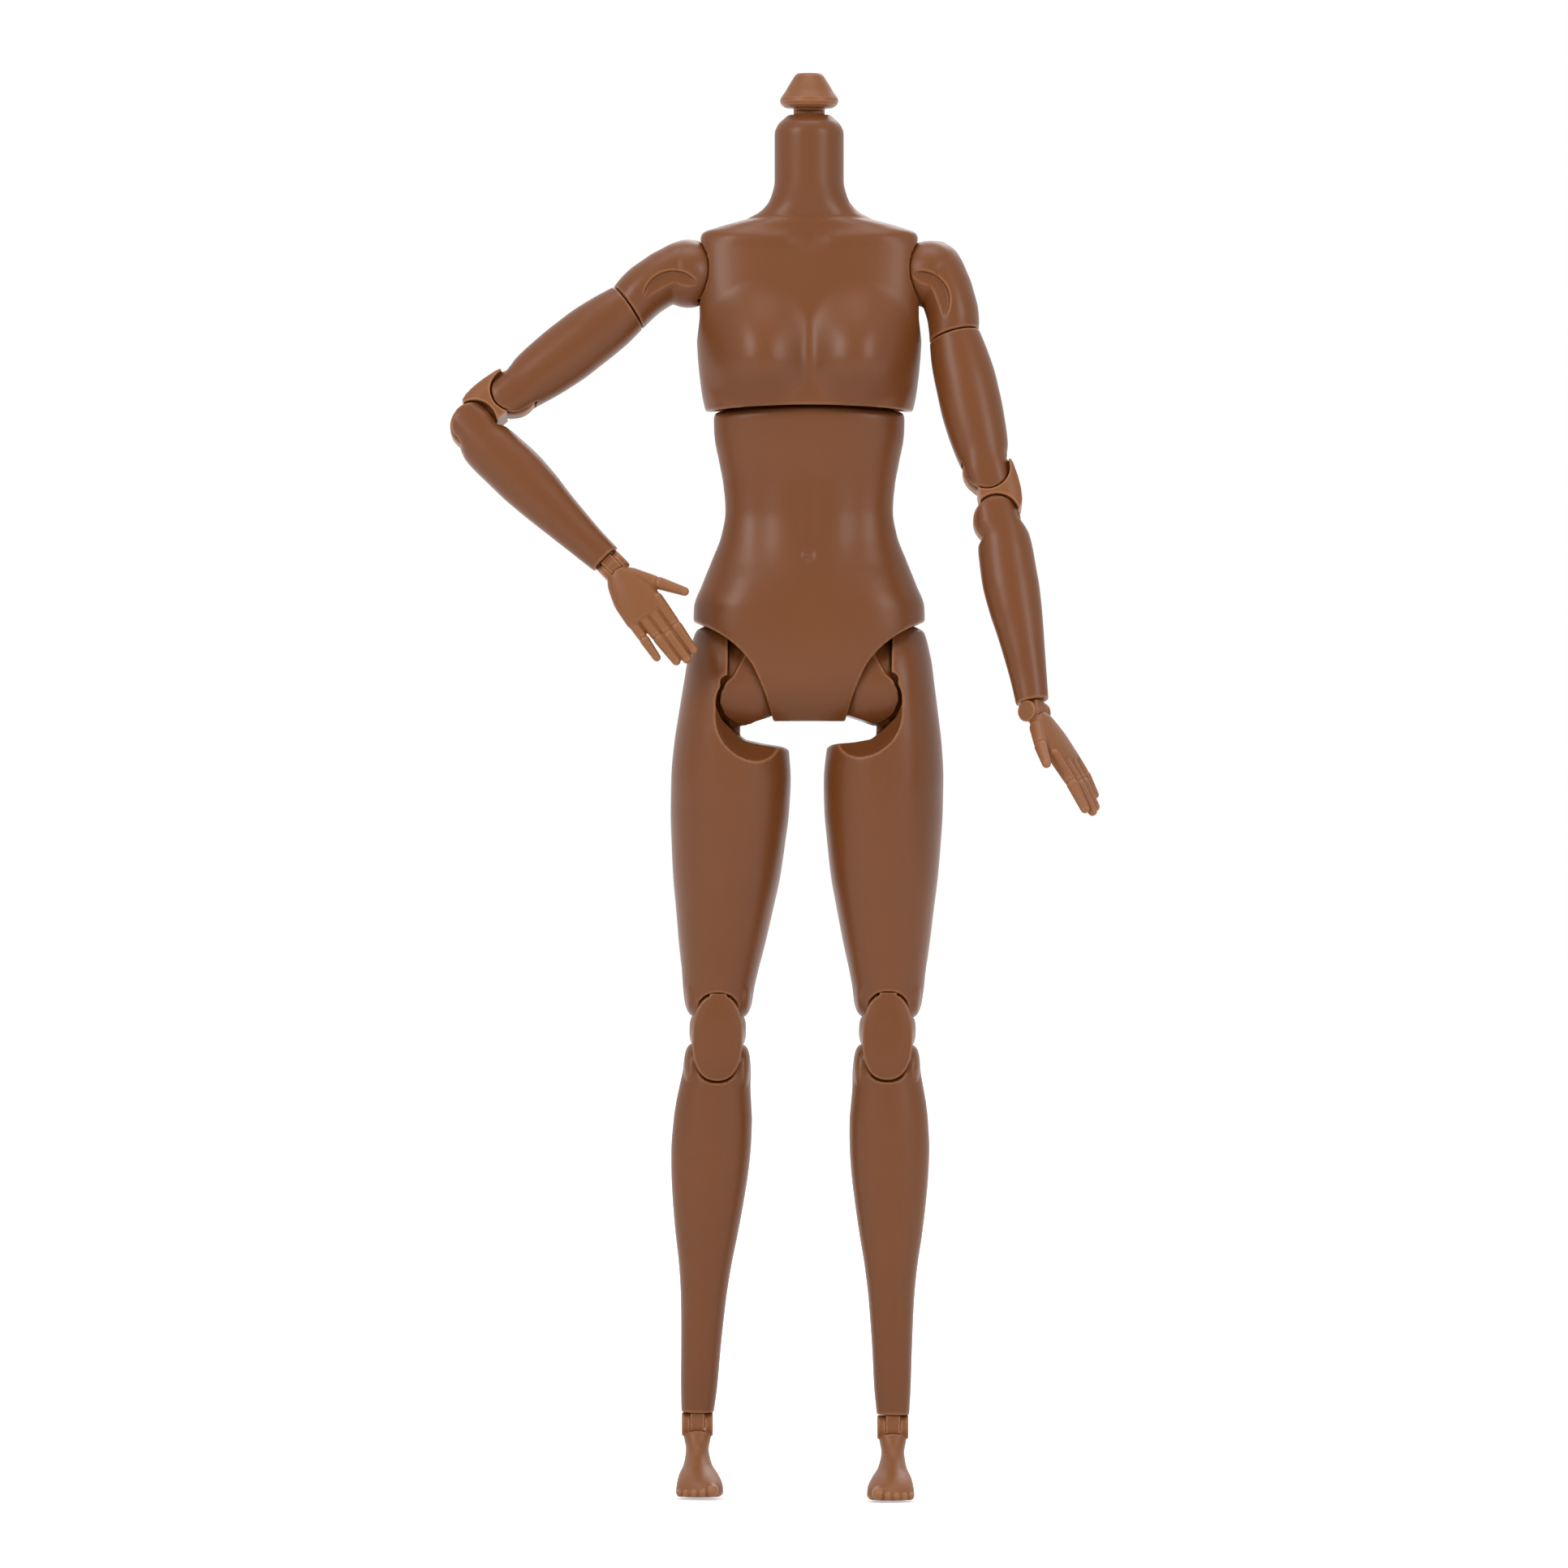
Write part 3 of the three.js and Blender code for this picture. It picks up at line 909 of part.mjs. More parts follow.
// Legs, drawn once for the left side
const leg = {
  ball: makeHipBall(),
  hipPin: rod('y', HIP_PIN_RADIUS, -HIP_PIN_HALF, HIP_PIN_HALF),
  thigh: makeThigh(),
  kneePin: rod('x', KNEE_PIN_RADIUS, -KNEE_PIN_HALF, KNEE_PIN_HALF),
  link: makeKneeLink(),
  shin: makeShin(),
  anklePeg: makeAnklePeg(),
  anklePin: rod('x', ANKLE_PIN_RADIUS, 0.1 - ANKLE_HALF_WIDTH, ANKLE_HALF_WIDTH - 0.1),
  foot: makeFoot(),
};

function addLeg(name, side, pose) {
  const add = (parent, label, body, look = SKIN) => parent.add(mesh(`${name}_${label}`, body, look, side));
  const swing = joint(doll, [side * HIP_HALF_SPAN, 0, HIP_HEIGHT], [pose.swing, 0, 0]);
  add(swing, 'hip_ball', leg.ball);
  add(swing, 'hip_pin', leg.hipPin, STEEL);
  const spread = joint(swing, [0, 0, 0], [0, -side * pose.spread, 0]);
  add(spread, 'thigh', leg.thigh);
  const upperKnee = joint(spread, [side * KNEE_OFFSET, 0, -THIGH_LENGTH]);
  add(upperKnee, 'upper_knee_pin', leg.kneePin, STEEL);
  add(upperKnee, 'knee_link', leg.link);
  const lowerKnee = joint(upperKnee, [0, 0, -KNEE_LINK_LENGTH]);
  add(lowerKnee, 'lower_knee_pin', leg.kneePin, STEEL);
  add(lowerKnee, 'shin', leg.shin);
  const ankle = joint(lowerKnee, [side * ANKLE_OFFSET, 0, -SHIN_LENGTH]);
  add(ankle, 'ankle_peg', leg.anklePeg, SOFT_SKIN);
  add(ankle, 'ankle_pin', leg.anklePin, STEEL);
  const foot = joint(ankle, [0, 0, 0], [-pose.swing, side * pose.spread, 0]);
  add(foot, 'foot', leg.foot, SOFT_SKIN);
}

addArm('left', 1, LEFT_ARM);
addArm('right', -1, RIGHT_ARM);
addLeg('left', 1, LEFT_LEG);
addLeg('right', -1, RIGHT_LEG);

// The origin lies under the middle of the doll, at the level that its toes stand on.
doll.updateMatrixWorld(true);
const box = new THREE.Box3().setFromObject(doll, true);
doll.position.set(-(box.min.x + box.max.x) / 2, -(box.min.y + box.max.y) / 2, -box.min.z);
doll.updateMatrixWorld(true);

export default doll;
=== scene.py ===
"""The look of the articulated fashion doll body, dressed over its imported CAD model.

Every visible piece is built here from the same joints and proportions as the solids, in
millimetres in its own limb's frame, then cut, softened like a moulded part and placed on the
frame in metres. A limb is drawn for the left side, with x outward, y backward and z up the limb.
"""

import json
import math

import bpy
import numpy as np
from mathutils import Matrix, Vector


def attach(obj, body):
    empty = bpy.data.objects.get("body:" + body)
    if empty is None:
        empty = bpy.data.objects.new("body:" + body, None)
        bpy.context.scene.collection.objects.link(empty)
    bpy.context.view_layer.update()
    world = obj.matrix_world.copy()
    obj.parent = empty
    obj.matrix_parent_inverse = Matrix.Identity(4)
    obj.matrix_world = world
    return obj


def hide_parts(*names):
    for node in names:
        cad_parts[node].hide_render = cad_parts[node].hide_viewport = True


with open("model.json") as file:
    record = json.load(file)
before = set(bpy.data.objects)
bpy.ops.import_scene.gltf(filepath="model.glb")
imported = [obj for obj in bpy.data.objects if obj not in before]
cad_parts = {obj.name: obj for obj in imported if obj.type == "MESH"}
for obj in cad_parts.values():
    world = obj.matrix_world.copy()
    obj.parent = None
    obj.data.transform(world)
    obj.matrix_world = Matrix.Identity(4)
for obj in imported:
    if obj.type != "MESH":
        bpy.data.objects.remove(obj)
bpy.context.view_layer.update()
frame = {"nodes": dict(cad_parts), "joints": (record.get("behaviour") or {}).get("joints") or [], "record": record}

MM = 0.001
DEGREE = math.pi / 180
FAR = 60.0  # half the size of a cutting block that must pass right through
ALL = (-FAR, FAR)
TALL = 300.0  # a height above the whole doll
PAST = 0.5  # how far a cut runs on past the face that it opens
GAP = 0.3  # between two pieces that slide past each other
SEAM = 0.03  # the groove between two pieces that lie against each other
ROUND = 2.0  # the squareness of a plain oval

# The sizes that the CAD model is driven by

WAIST_HEIGHT = 195.0
HIP_HEIGHT = 151.7
HIP_HALF_SPAN = 15.3
CHEST_RIM = 201.9
SHOULDER_HEIGHT = 227.6
SHOULDER_HALF_SPAN = 22.5
NECK_TOP = 257.3
NOD_HEIGHT = 253.3
KEEL_HALF_WIDTH = 6.5
CAP_LENGTH = 13.0
UPPER_ARM_LENGTH = 39.8
ELBOW_LINK_LENGTH = 9.8
FOREARM_LENGTH = 37.2
THIGH_LENGTH = 57.8
KNEE_LINK_LENGTH = 14.5
SHIN_LENGTH = 66.4
KNEE_OFFSET = 0.5
ANKLE_OFFSET = 2.4
ANKLE_HEIGHT = 13.0
ELBOW_END_RADIUS = 4.05
KNEE_END_RADIUS = 4.6
WRIST_REST_BEND = {"left": -20.0, "right": -4.0}

# Each joint's holes, knuckles and slots, as radii and half widths

NECK_MOUTH = 3.3
NECK_BORE = 4.65
NECK_LIP = 1.1  # from the neck's top down to the bore
NECK_EYE = 1.9
NECK_TONGUE = 1.65
NECK_PIN_HOLE = 1.05
WAIST_SLOT = 2.75
WAIST_KNUCKLE_ROOM = 3.95
WAIST_PIN_HOLE = 1.45
SHOULDER_SOCKET = 6.6
SHOULDER_STEM_HOLE = 2.15
SHOULDER_SLOT = 2.2
SHOULDER_KNUCKLE_ROOM = 4.7
SHOULDER_PIN_HOLE = 1.25
SWIVEL_PEG = 1.8
SWIVEL_HOLE = 2.15
ELBOW_SLOT = 1.8
ELBOW_KNUCKLE = 4.4
ELBOW_KNUCKLE_ROOM = 4.7
ELBOW_PIN_HOLE = 1.0
ELBOW_PIN_HALF = 3.8
WRIST_EAR = 1.95
WRIST_ROOM = 2.05
WRIST_SLOT = 1.3
WRIST_PIN_HOLE = 0.7
HIP_SOCKET = 11.45
HIP_SLOT = 2.25
HIP_KNUCKLE_ROOM = 3.55
HIP_TONGUE = 1.9
HIP_PIN_HOLE = 1.25
HIP_AXLE_HOLE = 1.85
HIP_INNER = KEEL_HALF_WIDTH - HIP_HALF_SPAN  # the keel's side, seen from the hip's middle
KNEE_SLOT = 2.6
KNEE_KNUCKLE = 4.4
KNEE_KNUCKLE_ROOM = 4.65
KNEE_PIN_HOLE = 1.15
KNEE_PIN_HALF = 5.2
ANKLE_EAR = 2.2
ANKLE_ROOM = 2.28
ANKLE_SLOT = 1.4
ANKLE_PIN_HOLE = 0.75

# Where the joints are, in millimetres

joints = {j["name"]: j for j in frame["joints"]}


def pivot(name):
    return np.array(joints[name]["pos_m"]) / MM


def axis(name, sign=1.0):
    direction = np.array(joints[name]["axis"], float)
    return sign * direction / np.linalg.norm(direction)


def placed(origin, x, y, z):
    """A 4 x 4 matrix that puts a limb's own frame at a joint."""
    matrix = np.eye(4)
    matrix[:3, 0] = x
    matrix[:3, 1] = y
    matrix[:3, 2] = z
    matrix[:3, 3] = origin
    return matrix


def from_y_z(origin, y, z):
    x = np.cross(y, z)
    x /= np.linalg.norm(x)
    return placed(origin, x, y, np.cross(x, y))


def from_x_z(origin, x, z):
    y = np.cross(z, x)
    y /= np.linalg.norm(y)
    return placed(origin, x, y, np.cross(x, y))


TORSO = placed(pivot("waist_bend") - [0, 0, WAIST_HEIGHT], [1, 0, 0], [0, 1, 0], [0, 0, 1])


def limb_frames(side):
    """The frame of each piece of the arm and leg on the "left" or "right" side."""
    sign = 1.0 if side == "left" else -1.0
    lift = axis(f"{side}_shoulder_lift", -sign)
    along = axis(f"{side}_arm_swivel", sign)
    shoulder = pivot(f"{side}_shoulder_lift")
    elbows = [pivot(f"{side}_upper_elbow_bend"), pivot(f"{side}_lower_elbow_bend")]
    wrist = pivot(f"{side}_wrist_bend")
    forearm_up = (elbows[1] - wrist) / np.linalg.norm(elbows[1] - wrist)
    link_up = (elbows[0] - elbows[1]) / np.linalg.norm(elbows[0] - elbows[1])
    wrist_axis = axis(f"{side}_wrist_bend")
    peg = from_x_z(wrist, wrist_axis, forearm_up)
    turn = Matrix.Rotation(WRIST_REST_BEND[side] * DEGREE, 4, "X")
    hip = pivot(f"{side}_hip_spread")
    leg_up = axis(f"{side}_ankle_twist", sign)
    knees = [pivot(f"{side}_upper_knee_bend"), pivot(f"{side}_lower_knee_bend")]
    knee_axis = axis(f"{side}_upper_knee_bend")
    ankle = pivot(f"{side}_ankle_bend")
    return {
        "shoulder_cap": from_y_z(shoulder, lift, along),
        "upper_arm": from_y_z(pivot(f"{side}_arm_swivel"), lift, along),
        "elbow_link": from_y_z(elbows[0], lift, link_up),
        "forearm": from_y_z(elbows[1], lift, forearm_up),
        "hand": peg @ np.array(turn),
        "wrist_peg": peg,
        "ankle_peg": from_x_z(ankle, axis(f"{side}_ankle_bend"), leg_up),
        "hip_ball": from_y_z(hip, axis(f"{side}_hip_spread", -1.0), np.array([0, 0, 1.0])),
        "thigh": from_x_z(hip, knee_axis, leg_up),
        "knee_link": from_x_z(knees[0], knee_axis, leg_up),
        "shin": from_x_z(knees[1], knee_axis, leg_up),
        "foot": placed(ankle, [1, 0, 0], [0, 1, 0], [0, 0, 1]),
    }


# Solids, as a list of points and a list of faces


def spline(t, values, at):
    """A smooth curve through values at t that doesn't overshoot them."""
    step = np.diff(t)
    slope = np.diff(values) / step
    tangent = np.empty(len(t))
    tangent[[0, -1]] = slope[[0, -1]]
    for i in range(1, len(t) - 1):
        same_way = slope[i - 1] * slope[i] > 0
        tangent[i] = 2 * slope[i - 1] * slope[i] / (slope[i - 1] + slope[i]) if same_way else 0.0
    i = np.clip(np.searchsorted(t, at, side="right") - 1, 0, len(step) - 1)
    s = (at - t[i]) / step[i]
    pull = (s**3 - 2 * s**2 + s) * tangent[i] + (s**3 - s**2) * tangent[i + 1]
    return values[i] + (values[i + 1] - values[i]) * (3 * s**2 - 2 * s**3) + pull * step[i]


def ring_faces(count, sides):
    """Faces between rings of points, and fans to two last points that close both ends."""
    faces = []
    for ring in range(count - 1):
        low = ring * sides
        for side in range(sides):
            after = (side + 1) % sides
            faces.append((low + side, low + after, low + sides + after, low + sides + side))
    last = (count - 1) * sides
    for side in range(sides):
        after = (side + 1) % sides
        faces.append((count * sides, after, side))
        faces.append((count * sides + 1, last + side, last + after))
    return faces


def oval(angle, squareness):
    """A circle of radius 1, pressed out towards a square where its squareness is over 2."""
    cos, sin = np.cos(angle), np.sin(angle)
    reach = (np.abs(cos) ** squareness + np.abs(sin) ** squareness) ** (-1 / squareness)
    return cos * reach, sin * reach


def loft(stations, sides=64, step=0.45, down=False, sculpt=None):
    """A closed body through oval sections along Z, or down from the origin.

    A station is (at, x, half width, half depth in front and behind, squareness, y), where the
    last two can be left out.
    """
    keys = np.array([s + (ROUND, 0)[len(s) - 5 :] for s in stations], float)
    growth = np.abs(np.diff(keys[:, 2])) + np.abs(np.diff(keys[:, 3]))
    chord = np.hypot(np.diff(keys[:, 0]), growth)
    t = np.concatenate([[0], np.cumsum(chord)])
    count = max(4, int(t[-1] / step))
    where = np.linspace(0, t[-1], count)
    z, x, w, f, b, p, y = (spline(t, keys[:, k], where)[:, None] for k in range(7))
    across, depth = oval(np.linspace(0, 2 * np.pi, sides, endpoint=False)[None, :], p)
    depth = np.where(depth < 0, f, b) * depth
    rings = np.stack([x + w * across, y + depth, z + 0 * across], axis=2)
    if down:
        rings = rings[::-1] * [1, 1, -1]
    points = rings.reshape(-1, 3)
    if sculpt is not None:
        points = sculpt(points)
    rings = points.reshape(count, sides, 3)
    points = np.vstack([points, rings[0].mean(axis=0), rings[-1].mean(axis=0)])
    return points, ring_faces(count, sides)


# What turns a body along Z so that it lies along another axis
TURNS = {
    "x": np.array([[0, 0, 1], [1, 0, 0], [0, 1, 0]], float),
    "y": np.array([[1, 0, 0], [0, 0, 1], [0, -1, 0]], float),
    "z": np.eye(3),
}


def turned(profile, along="z", at=(0, 0, 0), sides=64):
    """A round body from (place along the axis, radius) points that start and end on the axis."""
    rows = profile[1:-1]
    angle = np.linspace(0, 2 * np.pi, sides, endpoint=False)
    points = [(r * math.cos(a), r * math.sin(a), h) for h, r in rows for a in angle]
    points += [(0, 0, profile[0][0]), (0, 0, profile[-1][0])]
    points = np.array(points) @ TURNS[along].T + np.array(at, float)
    return points, ring_faces(len(rows), sides)


def to_side(profile, side):
    """A profile along X that is drawn for the left side, or its mirror image for the right."""
    return profile if side > 0 else [(-x, r) for x, r in profile][::-1]


def rod(along, radius, start, end, at=(0, 0, 0), sides=48):
    return turned([(start, 0), (start, radius), (end, radius), (end, 0)], along, at, sides)


def ball(radius, at=(0, 0, 0), scale=(1, 1, 1), sides=48):
    turns = np.linspace(0, math.pi, sides // 2)
    profile = [(-radius * math.cos(a), radius * math.sin(a)) for a in turns]
    points, faces = turned(profile, sides=sides)
    return points * scale + np.array(at, float), faces


def block(x, y, z):
    """A box, by its low and high place along each axis."""
    points = np.array([(i, j, k) for k in z for j in y for i in x], float)
    faces = [(0, 2, 3, 1), (4, 5, 7, 6), (0, 1, 5, 4), (2, 6, 7, 3), (0, 4, 6, 2), (1, 3, 7, 5)]
    return points, faces


def plate(outline, along, start, end):
    """A flat outline with thickness: (x, z) points along Y, or (y, z) points along X."""
    outline = np.array(outline, float)
    a, b = outline.T
    area = np.sum(a * np.roll(b, -1) - np.roll(a, -1) * b)
    if (area > 0) == (along == "y"):
        outline = outline[::-1]
    count = len(outline)
    points = []
    for place in (start, end):
        for a, b in outline:
            points.append((a, place, b) if along == "y" else (place, a, b))
    faces = [tuple(range(count - 1, -1, -1)), tuple(range(count, 2 * count))]
    for i in range(count):
        j = (i + 1) % count
        faces.append((i, j, count + j, count + i))
    return np.array(points), faces


def arc(centre, radius, start, end, count=24):
    """Points of an outline on an arc, between two angles in degrees."""
    return [
        (centre[0] + radius * math.cos(a * DEGREE), centre[1] + radius * math.sin(a * DEGREE))
        for a in np.linspace(start, end, count)
    ]


def ellipse(centre, across, along, count, squareness):
    """Points of an outline on an oval, by its half sizes."""
    x, z = oval(np.linspace(0, 2 * math.pi, count, endpoint=False), squareness)
    return list(zip(centre[0] + across * x, centre[1] + along * z))


def moved(shape, by):
    return shape[0] + np.array(by, float), shape[1]


def tilted(shape, degrees, letter):
    """A shape turned about the X, Y or Z axis."""
    matrix = np.array(Matrix.Rotation(degrees * DEGREE, 3, letter))
    return shape[0] @ matrix.T, shape[1]


def capsule(start, end, thick, thin, sides=20):
    """A tapering round finger between two points, with round ends."""
    start, end = Vector(start), Vector(end)
    length = (end - start).length
    near_turns = np.linspace(0.3, math.pi / 2, 5)
    far_turns = np.linspace(0, 1.3, 6)
    profile = [(-thick, 0)]
    profile += [(-thick * math.cos(a), thick * math.sin(a)) for a in near_turns]
    profile += [(length - thin + thin * math.sin(a), thin * math.cos(a)) for a in far_turns]
    profile += [(length, 0)]
    points, faces = turned(profile, sides=sides)
    turn = np.array((end - start).to_track_quat("Z", "Y").to_matrix())
    return points @ turn.T + np.array(start), faces


# Cutting, joining and softening

LEAST_SQUARE = 1e-6  # keeps the slope of an edge without length from running away


def new_object(name, data):
    """Puts a mesh, a lamp or a camera in the scene."""
    obj = bpy.data.objects.new(name, data)
    bpy.context.scene.collection.objects.link(obj)
    return obj


def temporary(shape):
    mesh = bpy.data.meshes.new("working")
    mesh.from_pydata([tuple(p) for p in shape[0]], [], shape[1])
    return new_object("working", mesh)


def joined(base, add=(), cut=(), keep=(), finish=None):
    """Shapes joined, cut and kept to others, as points and faces, with their edges sharp."""
    body = temporary(base)
    extras = []
    for operation, shapes in (("UNION", add), ("DIFFERENCE", cut), ("INTERSECT", keep)):
        for shape in shapes:
            tool = temporary(shape)
            modifier = body.modifiers.new(operation, "BOOLEAN")
            modifier.operation = operation
            modifier.solver = "MANIFOLD"
            modifier.object = tool
            extras.append(tool)
    if finish:
        finish(body)
    evaluated = body.evaluated_get(bpy.context.evaluated_depsgraph_get())
    mesh = evaluated.to_mesh()
    points = np.empty(len(mesh.vertices) * 3)
    mesh.vertices.foreach_get("co", points)
    faces = [tuple(p.vertices) for p in mesh.polygons]
    evaluated.to_mesh_clear()
    for obj in [body, *extras]:
        data = obj.data
        bpy.data.objects.remove(obj)
        bpy.data.meshes.remove(data)
    return points.reshape(-1, 3), faces


def largest_body(points, faces):
    """Leaves out the crumbs that a remesh can leave beside a body. Each face has four corners."""
    corners = np.array(faces)
    label = np.arange(len(points))
    settled = False
    while not settled:
        before = label
        label = label.copy()
        np.minimum.at(label, corners.ravel(), np.repeat(label[corners].min(axis=1), 4))
        label = label[label]
        settled = np.array_equal(label, before)
    kept = label == np.bincount(label).argmax()
    renumbered = np.cumsum(kept) - 1
    return points[kept], [tuple(f) for f in renumbered[corners[kept[corners[:, 0]]]].tolist()]


def modelled(base, add=(), cut=(), keep=(), voxel=0.25, soften=6):
    """Joins, cuts and softens shapes into one moulded body."""

    def mould(body):
        remesh = body.modifiers.new("mould", "REMESH")
        remesh.mode = "VOXEL"
        remesh.voxel_size = voxel * 1.0
        smooth = body.modifiers.new("soften", "SMOOTH")
        smooth.factor = 0.5
        smooth.iterations = soften

    return largest_body(*joined(base, add, cut, keep, mould))


def mark_edges(mesh):
    """Stores how sharply each vertex stands out, per millimetre, for the painted highlight on sharp edges."""
    count = len(mesh.vertices)
    points = np.empty(count * 3, np.float32)
    normals = np.empty(count * 3, np.float32)
    ends = np.empty(len(mesh.edges) * 2, np.int32)
    mesh.vertices.foreach_get("co", points)
    mesh.vertices.foreach_get("normal", normals)
    mesh.edges.foreach_get("vertices", ends)
    points = points.reshape(-1, 3) / MM
    normals = normals.reshape(-1, 3)
    a, b = ends.reshape(-1, 2).T
    apart = points[a] - points[b]
    square = np.maximum((apart**2).sum(axis=1), LEAST_SQUARE)
    sharp = np.bincount(a, (apart * normals[a]).sum(axis=1) / square, count)
    sharp -= np.bincount(b, (apart * normals[b]).sum(axis=1) / square, count)
    neighbours = np.bincount(a, minlength=count) + np.bincount(b, minlength=count)
    sharp /= np.maximum(neighbours, 1)
    for _ in range(2):  # each pass evens the value out over the neighbours
        around = np.bincount(a, sharp[b], count) + np.bincount(b, sharp[a], count)
        sharp = (sharp + around) / (1 + neighbours)
    edge = mesh.attributes.new("edge", "FLOAT", "POINT")
    edge.data.foreach_set("value", sharp.astype(np.float32))


def piece(name, shape, where, body, nodes, slot, side=1):
    """Puts a finished shape on a body of the frame, in place of its CAD nodes."""
    points, faces = shape
    points = points * [side, 1, 1]
    if side < 0:
        faces = [f[::-1] for f in faces]
    world = (points @ where[:3, :3].T + where[:3, 3]) * MM
    mesh = bpy.data.meshes.new(name)
    mesh.from_pydata([tuple(p) for p in world], [], faces)
    mesh.polygons.foreach_set("use_smooth", [True] * len(mesh.polygons))
    mark_edges(mesh)
    mesh.materials.append(FINISHES[slot])
    obj = new_object(name, mesh)
    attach(obj, body)
    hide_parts(*nodes)


# Materials

MOTTLE = 0.07  # how far a plastic's colour wanders to either side


def node_maker(material):
    """What adds a node to a material or the world, and what links two of its nodes."""
    tree = material.node_tree

    def add(kind, **values):
        """A new node, with its own settings and its sockets' values set by name."""
        node = tree.nodes.new(kind)
        for key, value in values.items():
            if hasattr(node, key):
                setattr(node, key, value)
            else:
                node.inputs[key].default_value = value
        return node

    def link(source, output, target, socket):
        tree.links.new(source.outputs[output], target.inputs[socket])

    return add, link


def new_material(name):
    """A material, with what adds and links its nodes and the shader that it starts with."""
    material = bpy.data.materials.new(name)
    material.use_nodes = True
    return material, *node_maker(material), material.node_tree.nodes["Principled BSDF"]


def plastic(name, colour, light, roughness):
    """Satin moulded plastic: a faint mottle, a fine grain, and a painted highlight that lightens its sharp edges.
    """
    material, add, link, shader = new_material(name)
    shader.inputs["IOR"].default_value = 1.48
    shader.inputs["Specular IOR Level"].default_value = 0.34
    place = add("ShaderNodeTexCoord")
    mottle = add("ShaderNodeTexNoise", Scale=55.0, Detail=3.0, Roughness=0.5)
    grain = add("ShaderNodeTexNoise", Scale=2600.0, Detail=2.0, Roughness=0.6)
    edge = add("ShaderNodeAttribute", attribute_name="edge")
    # Sharp edges are mixed towards the light colour as a painted highlight, where edges would catch the light
    painted_highlight_span = {"From Min": 0.12, "From Max": 0.45, "To Max": 0.6}
    edge_range = add("ShaderNodeMapRange", **painted_highlight_span)
    base = add("ShaderNodeMix", data_type="RGBA")
    base.inputs["A"].default_value = (*[c * (1 - MOTTLE) for c in colour], 1)
    base.inputs["B"].default_value = (*[c * (1 + MOTTLE) for c in colour], 1)
    painted_edge_highlight = add("ShaderNodeMix", data_type="RGBA")
    painted_edge_highlight.inputs["B"].default_value = (*light, 1)
    spread = {"To Min": roughness - 0.05, "To Max": roughness + 0.06}
    rough = add("ShaderNodeMapRange", **spread)
    bump = add("ShaderNodeBump", Strength=0.12, Distance=0.00004)
    for texture in (mottle, grain):
        link(place, "Object", texture, "Vector")
    link(mottle, "Fac", base, "Factor")
    link(edge, "Fac", edge_range, "Value")
    link(edge_range, "Result", painted_edge_highlight, "Factor")
    link(base, "Result", painted_edge_highlight, "A")
    link(painted_edge_highlight, "Result", shader, "Base Color")
    link(mottle, "Fac", rough, "Value")
    link(rough, "Result", shader, "Roughness")
    link(grain, "Fac", bump, "Height")
    link(bump, "Normal", shader, "Normal")
    return material


def steel(name):
    """Drawn steel wire, a little uneven in its tone and gloss."""
    material, add, link, shader = new_material(name)
    shader.inputs["Metallic"].default_value = 1.0
    place = add("ShaderNodeTexCoord")
    drawn = add("ShaderNodeTexNoise", Scale=900.0, Detail=4.0, Roughness=0.6)
    tone = add("ShaderNodeMapRange", **{"To Min": 0.28, "To Max": 0.42})
    shade = add("ShaderNodeMix", data_type="RGBA")
    shade.inputs["A"].default_value = (0.5, 0.5, 0.52, 1)
    shade.inputs["B"].default_value = (0.66, 0.66, 0.68, 1)
    link(place, "Object", drawn, "Vector")
    link(drawn, "Fac", tone, "Value")
    link(drawn, "Fac", shade, "Factor")
    link(tone, "Result", shader, "Roughness")
    link(shade, "Result", shader, "Base Color")
    return material


FINISHES = {
    # Each plastic's second colour is the painted highlight on its sharp edges
    "body_plastic": plastic("body_plastic", (0.184, 0.058, 0.015), (0.36, 0.15, 0.06), 0.36),
    "joint_plastic": plastic("joint_plastic", (0.255, 0.092, 0.03), (0.42, 0.18, 0.08), 0.4),
    "pin_steel": steel("pin_steel"),
}

# Torso

TORSO_DETAIL = {"sides": 180, "step": 0.4}
TORSO_VOXEL = 0.3
FORM_DEPTH = 4  # from the torso's sides forward or back to where a form has its full height
FORM_OFFSET = 9.5  # of the breasts and shoulder blades from the middle
BUST_HEIGHT = CHEST_RIM + 10
BLADE_HEIGHT = SHOULDER_HEIGHT - 1.6
COLLAR_HEIGHT = SHOULDER_HEIGHT + 6
NAVEL_HEIGHT = WAIST_HEIGHT - 20
BELLY_TOP = WAIST_HEIGHT + 2
RIM_ARCH = 1.0  # the chest's lower edge in the middle, above its corners
RIM_RADIUS = 190.0
CHEST_FLOOR = 2.6  # the thickness of the plate that the waist post hangs from
WAIST_BEND_ROOM = 22.0  # degrees to the front and back


def ramp(values, start, length):
    """Rises from 0 at the start to 1 after a length, which is negative where it runs down."""
    return np.clip((values - start) / length, 0, 1)


def bell(values, middle, spread):
    return np.exp(-0.5 * ((values - middle) / spread) ** 2)


def mound(points, centre, spread, height):
    """How far a soft swelling stands out at each (x, z) of the points."""
    across = bell(points[:, 0], centre[0], spread[0])
    return height * across * bell(points[:, 2], centre[1], spread[1])


def dome(points, centre, across, above, below, height, taper=1.8):
    """A full round swelling that ends at an oval, longer above its middle than below."""
    dx = (points[:, 0] - centre[0]) / across
    dz = points[:, 2] - centre[1]
    dz = np.where(dz < 0, dz / below, dz / above)
    return height * np.clip(1 - dx**2 - dz**2, 0, 1) ** taper


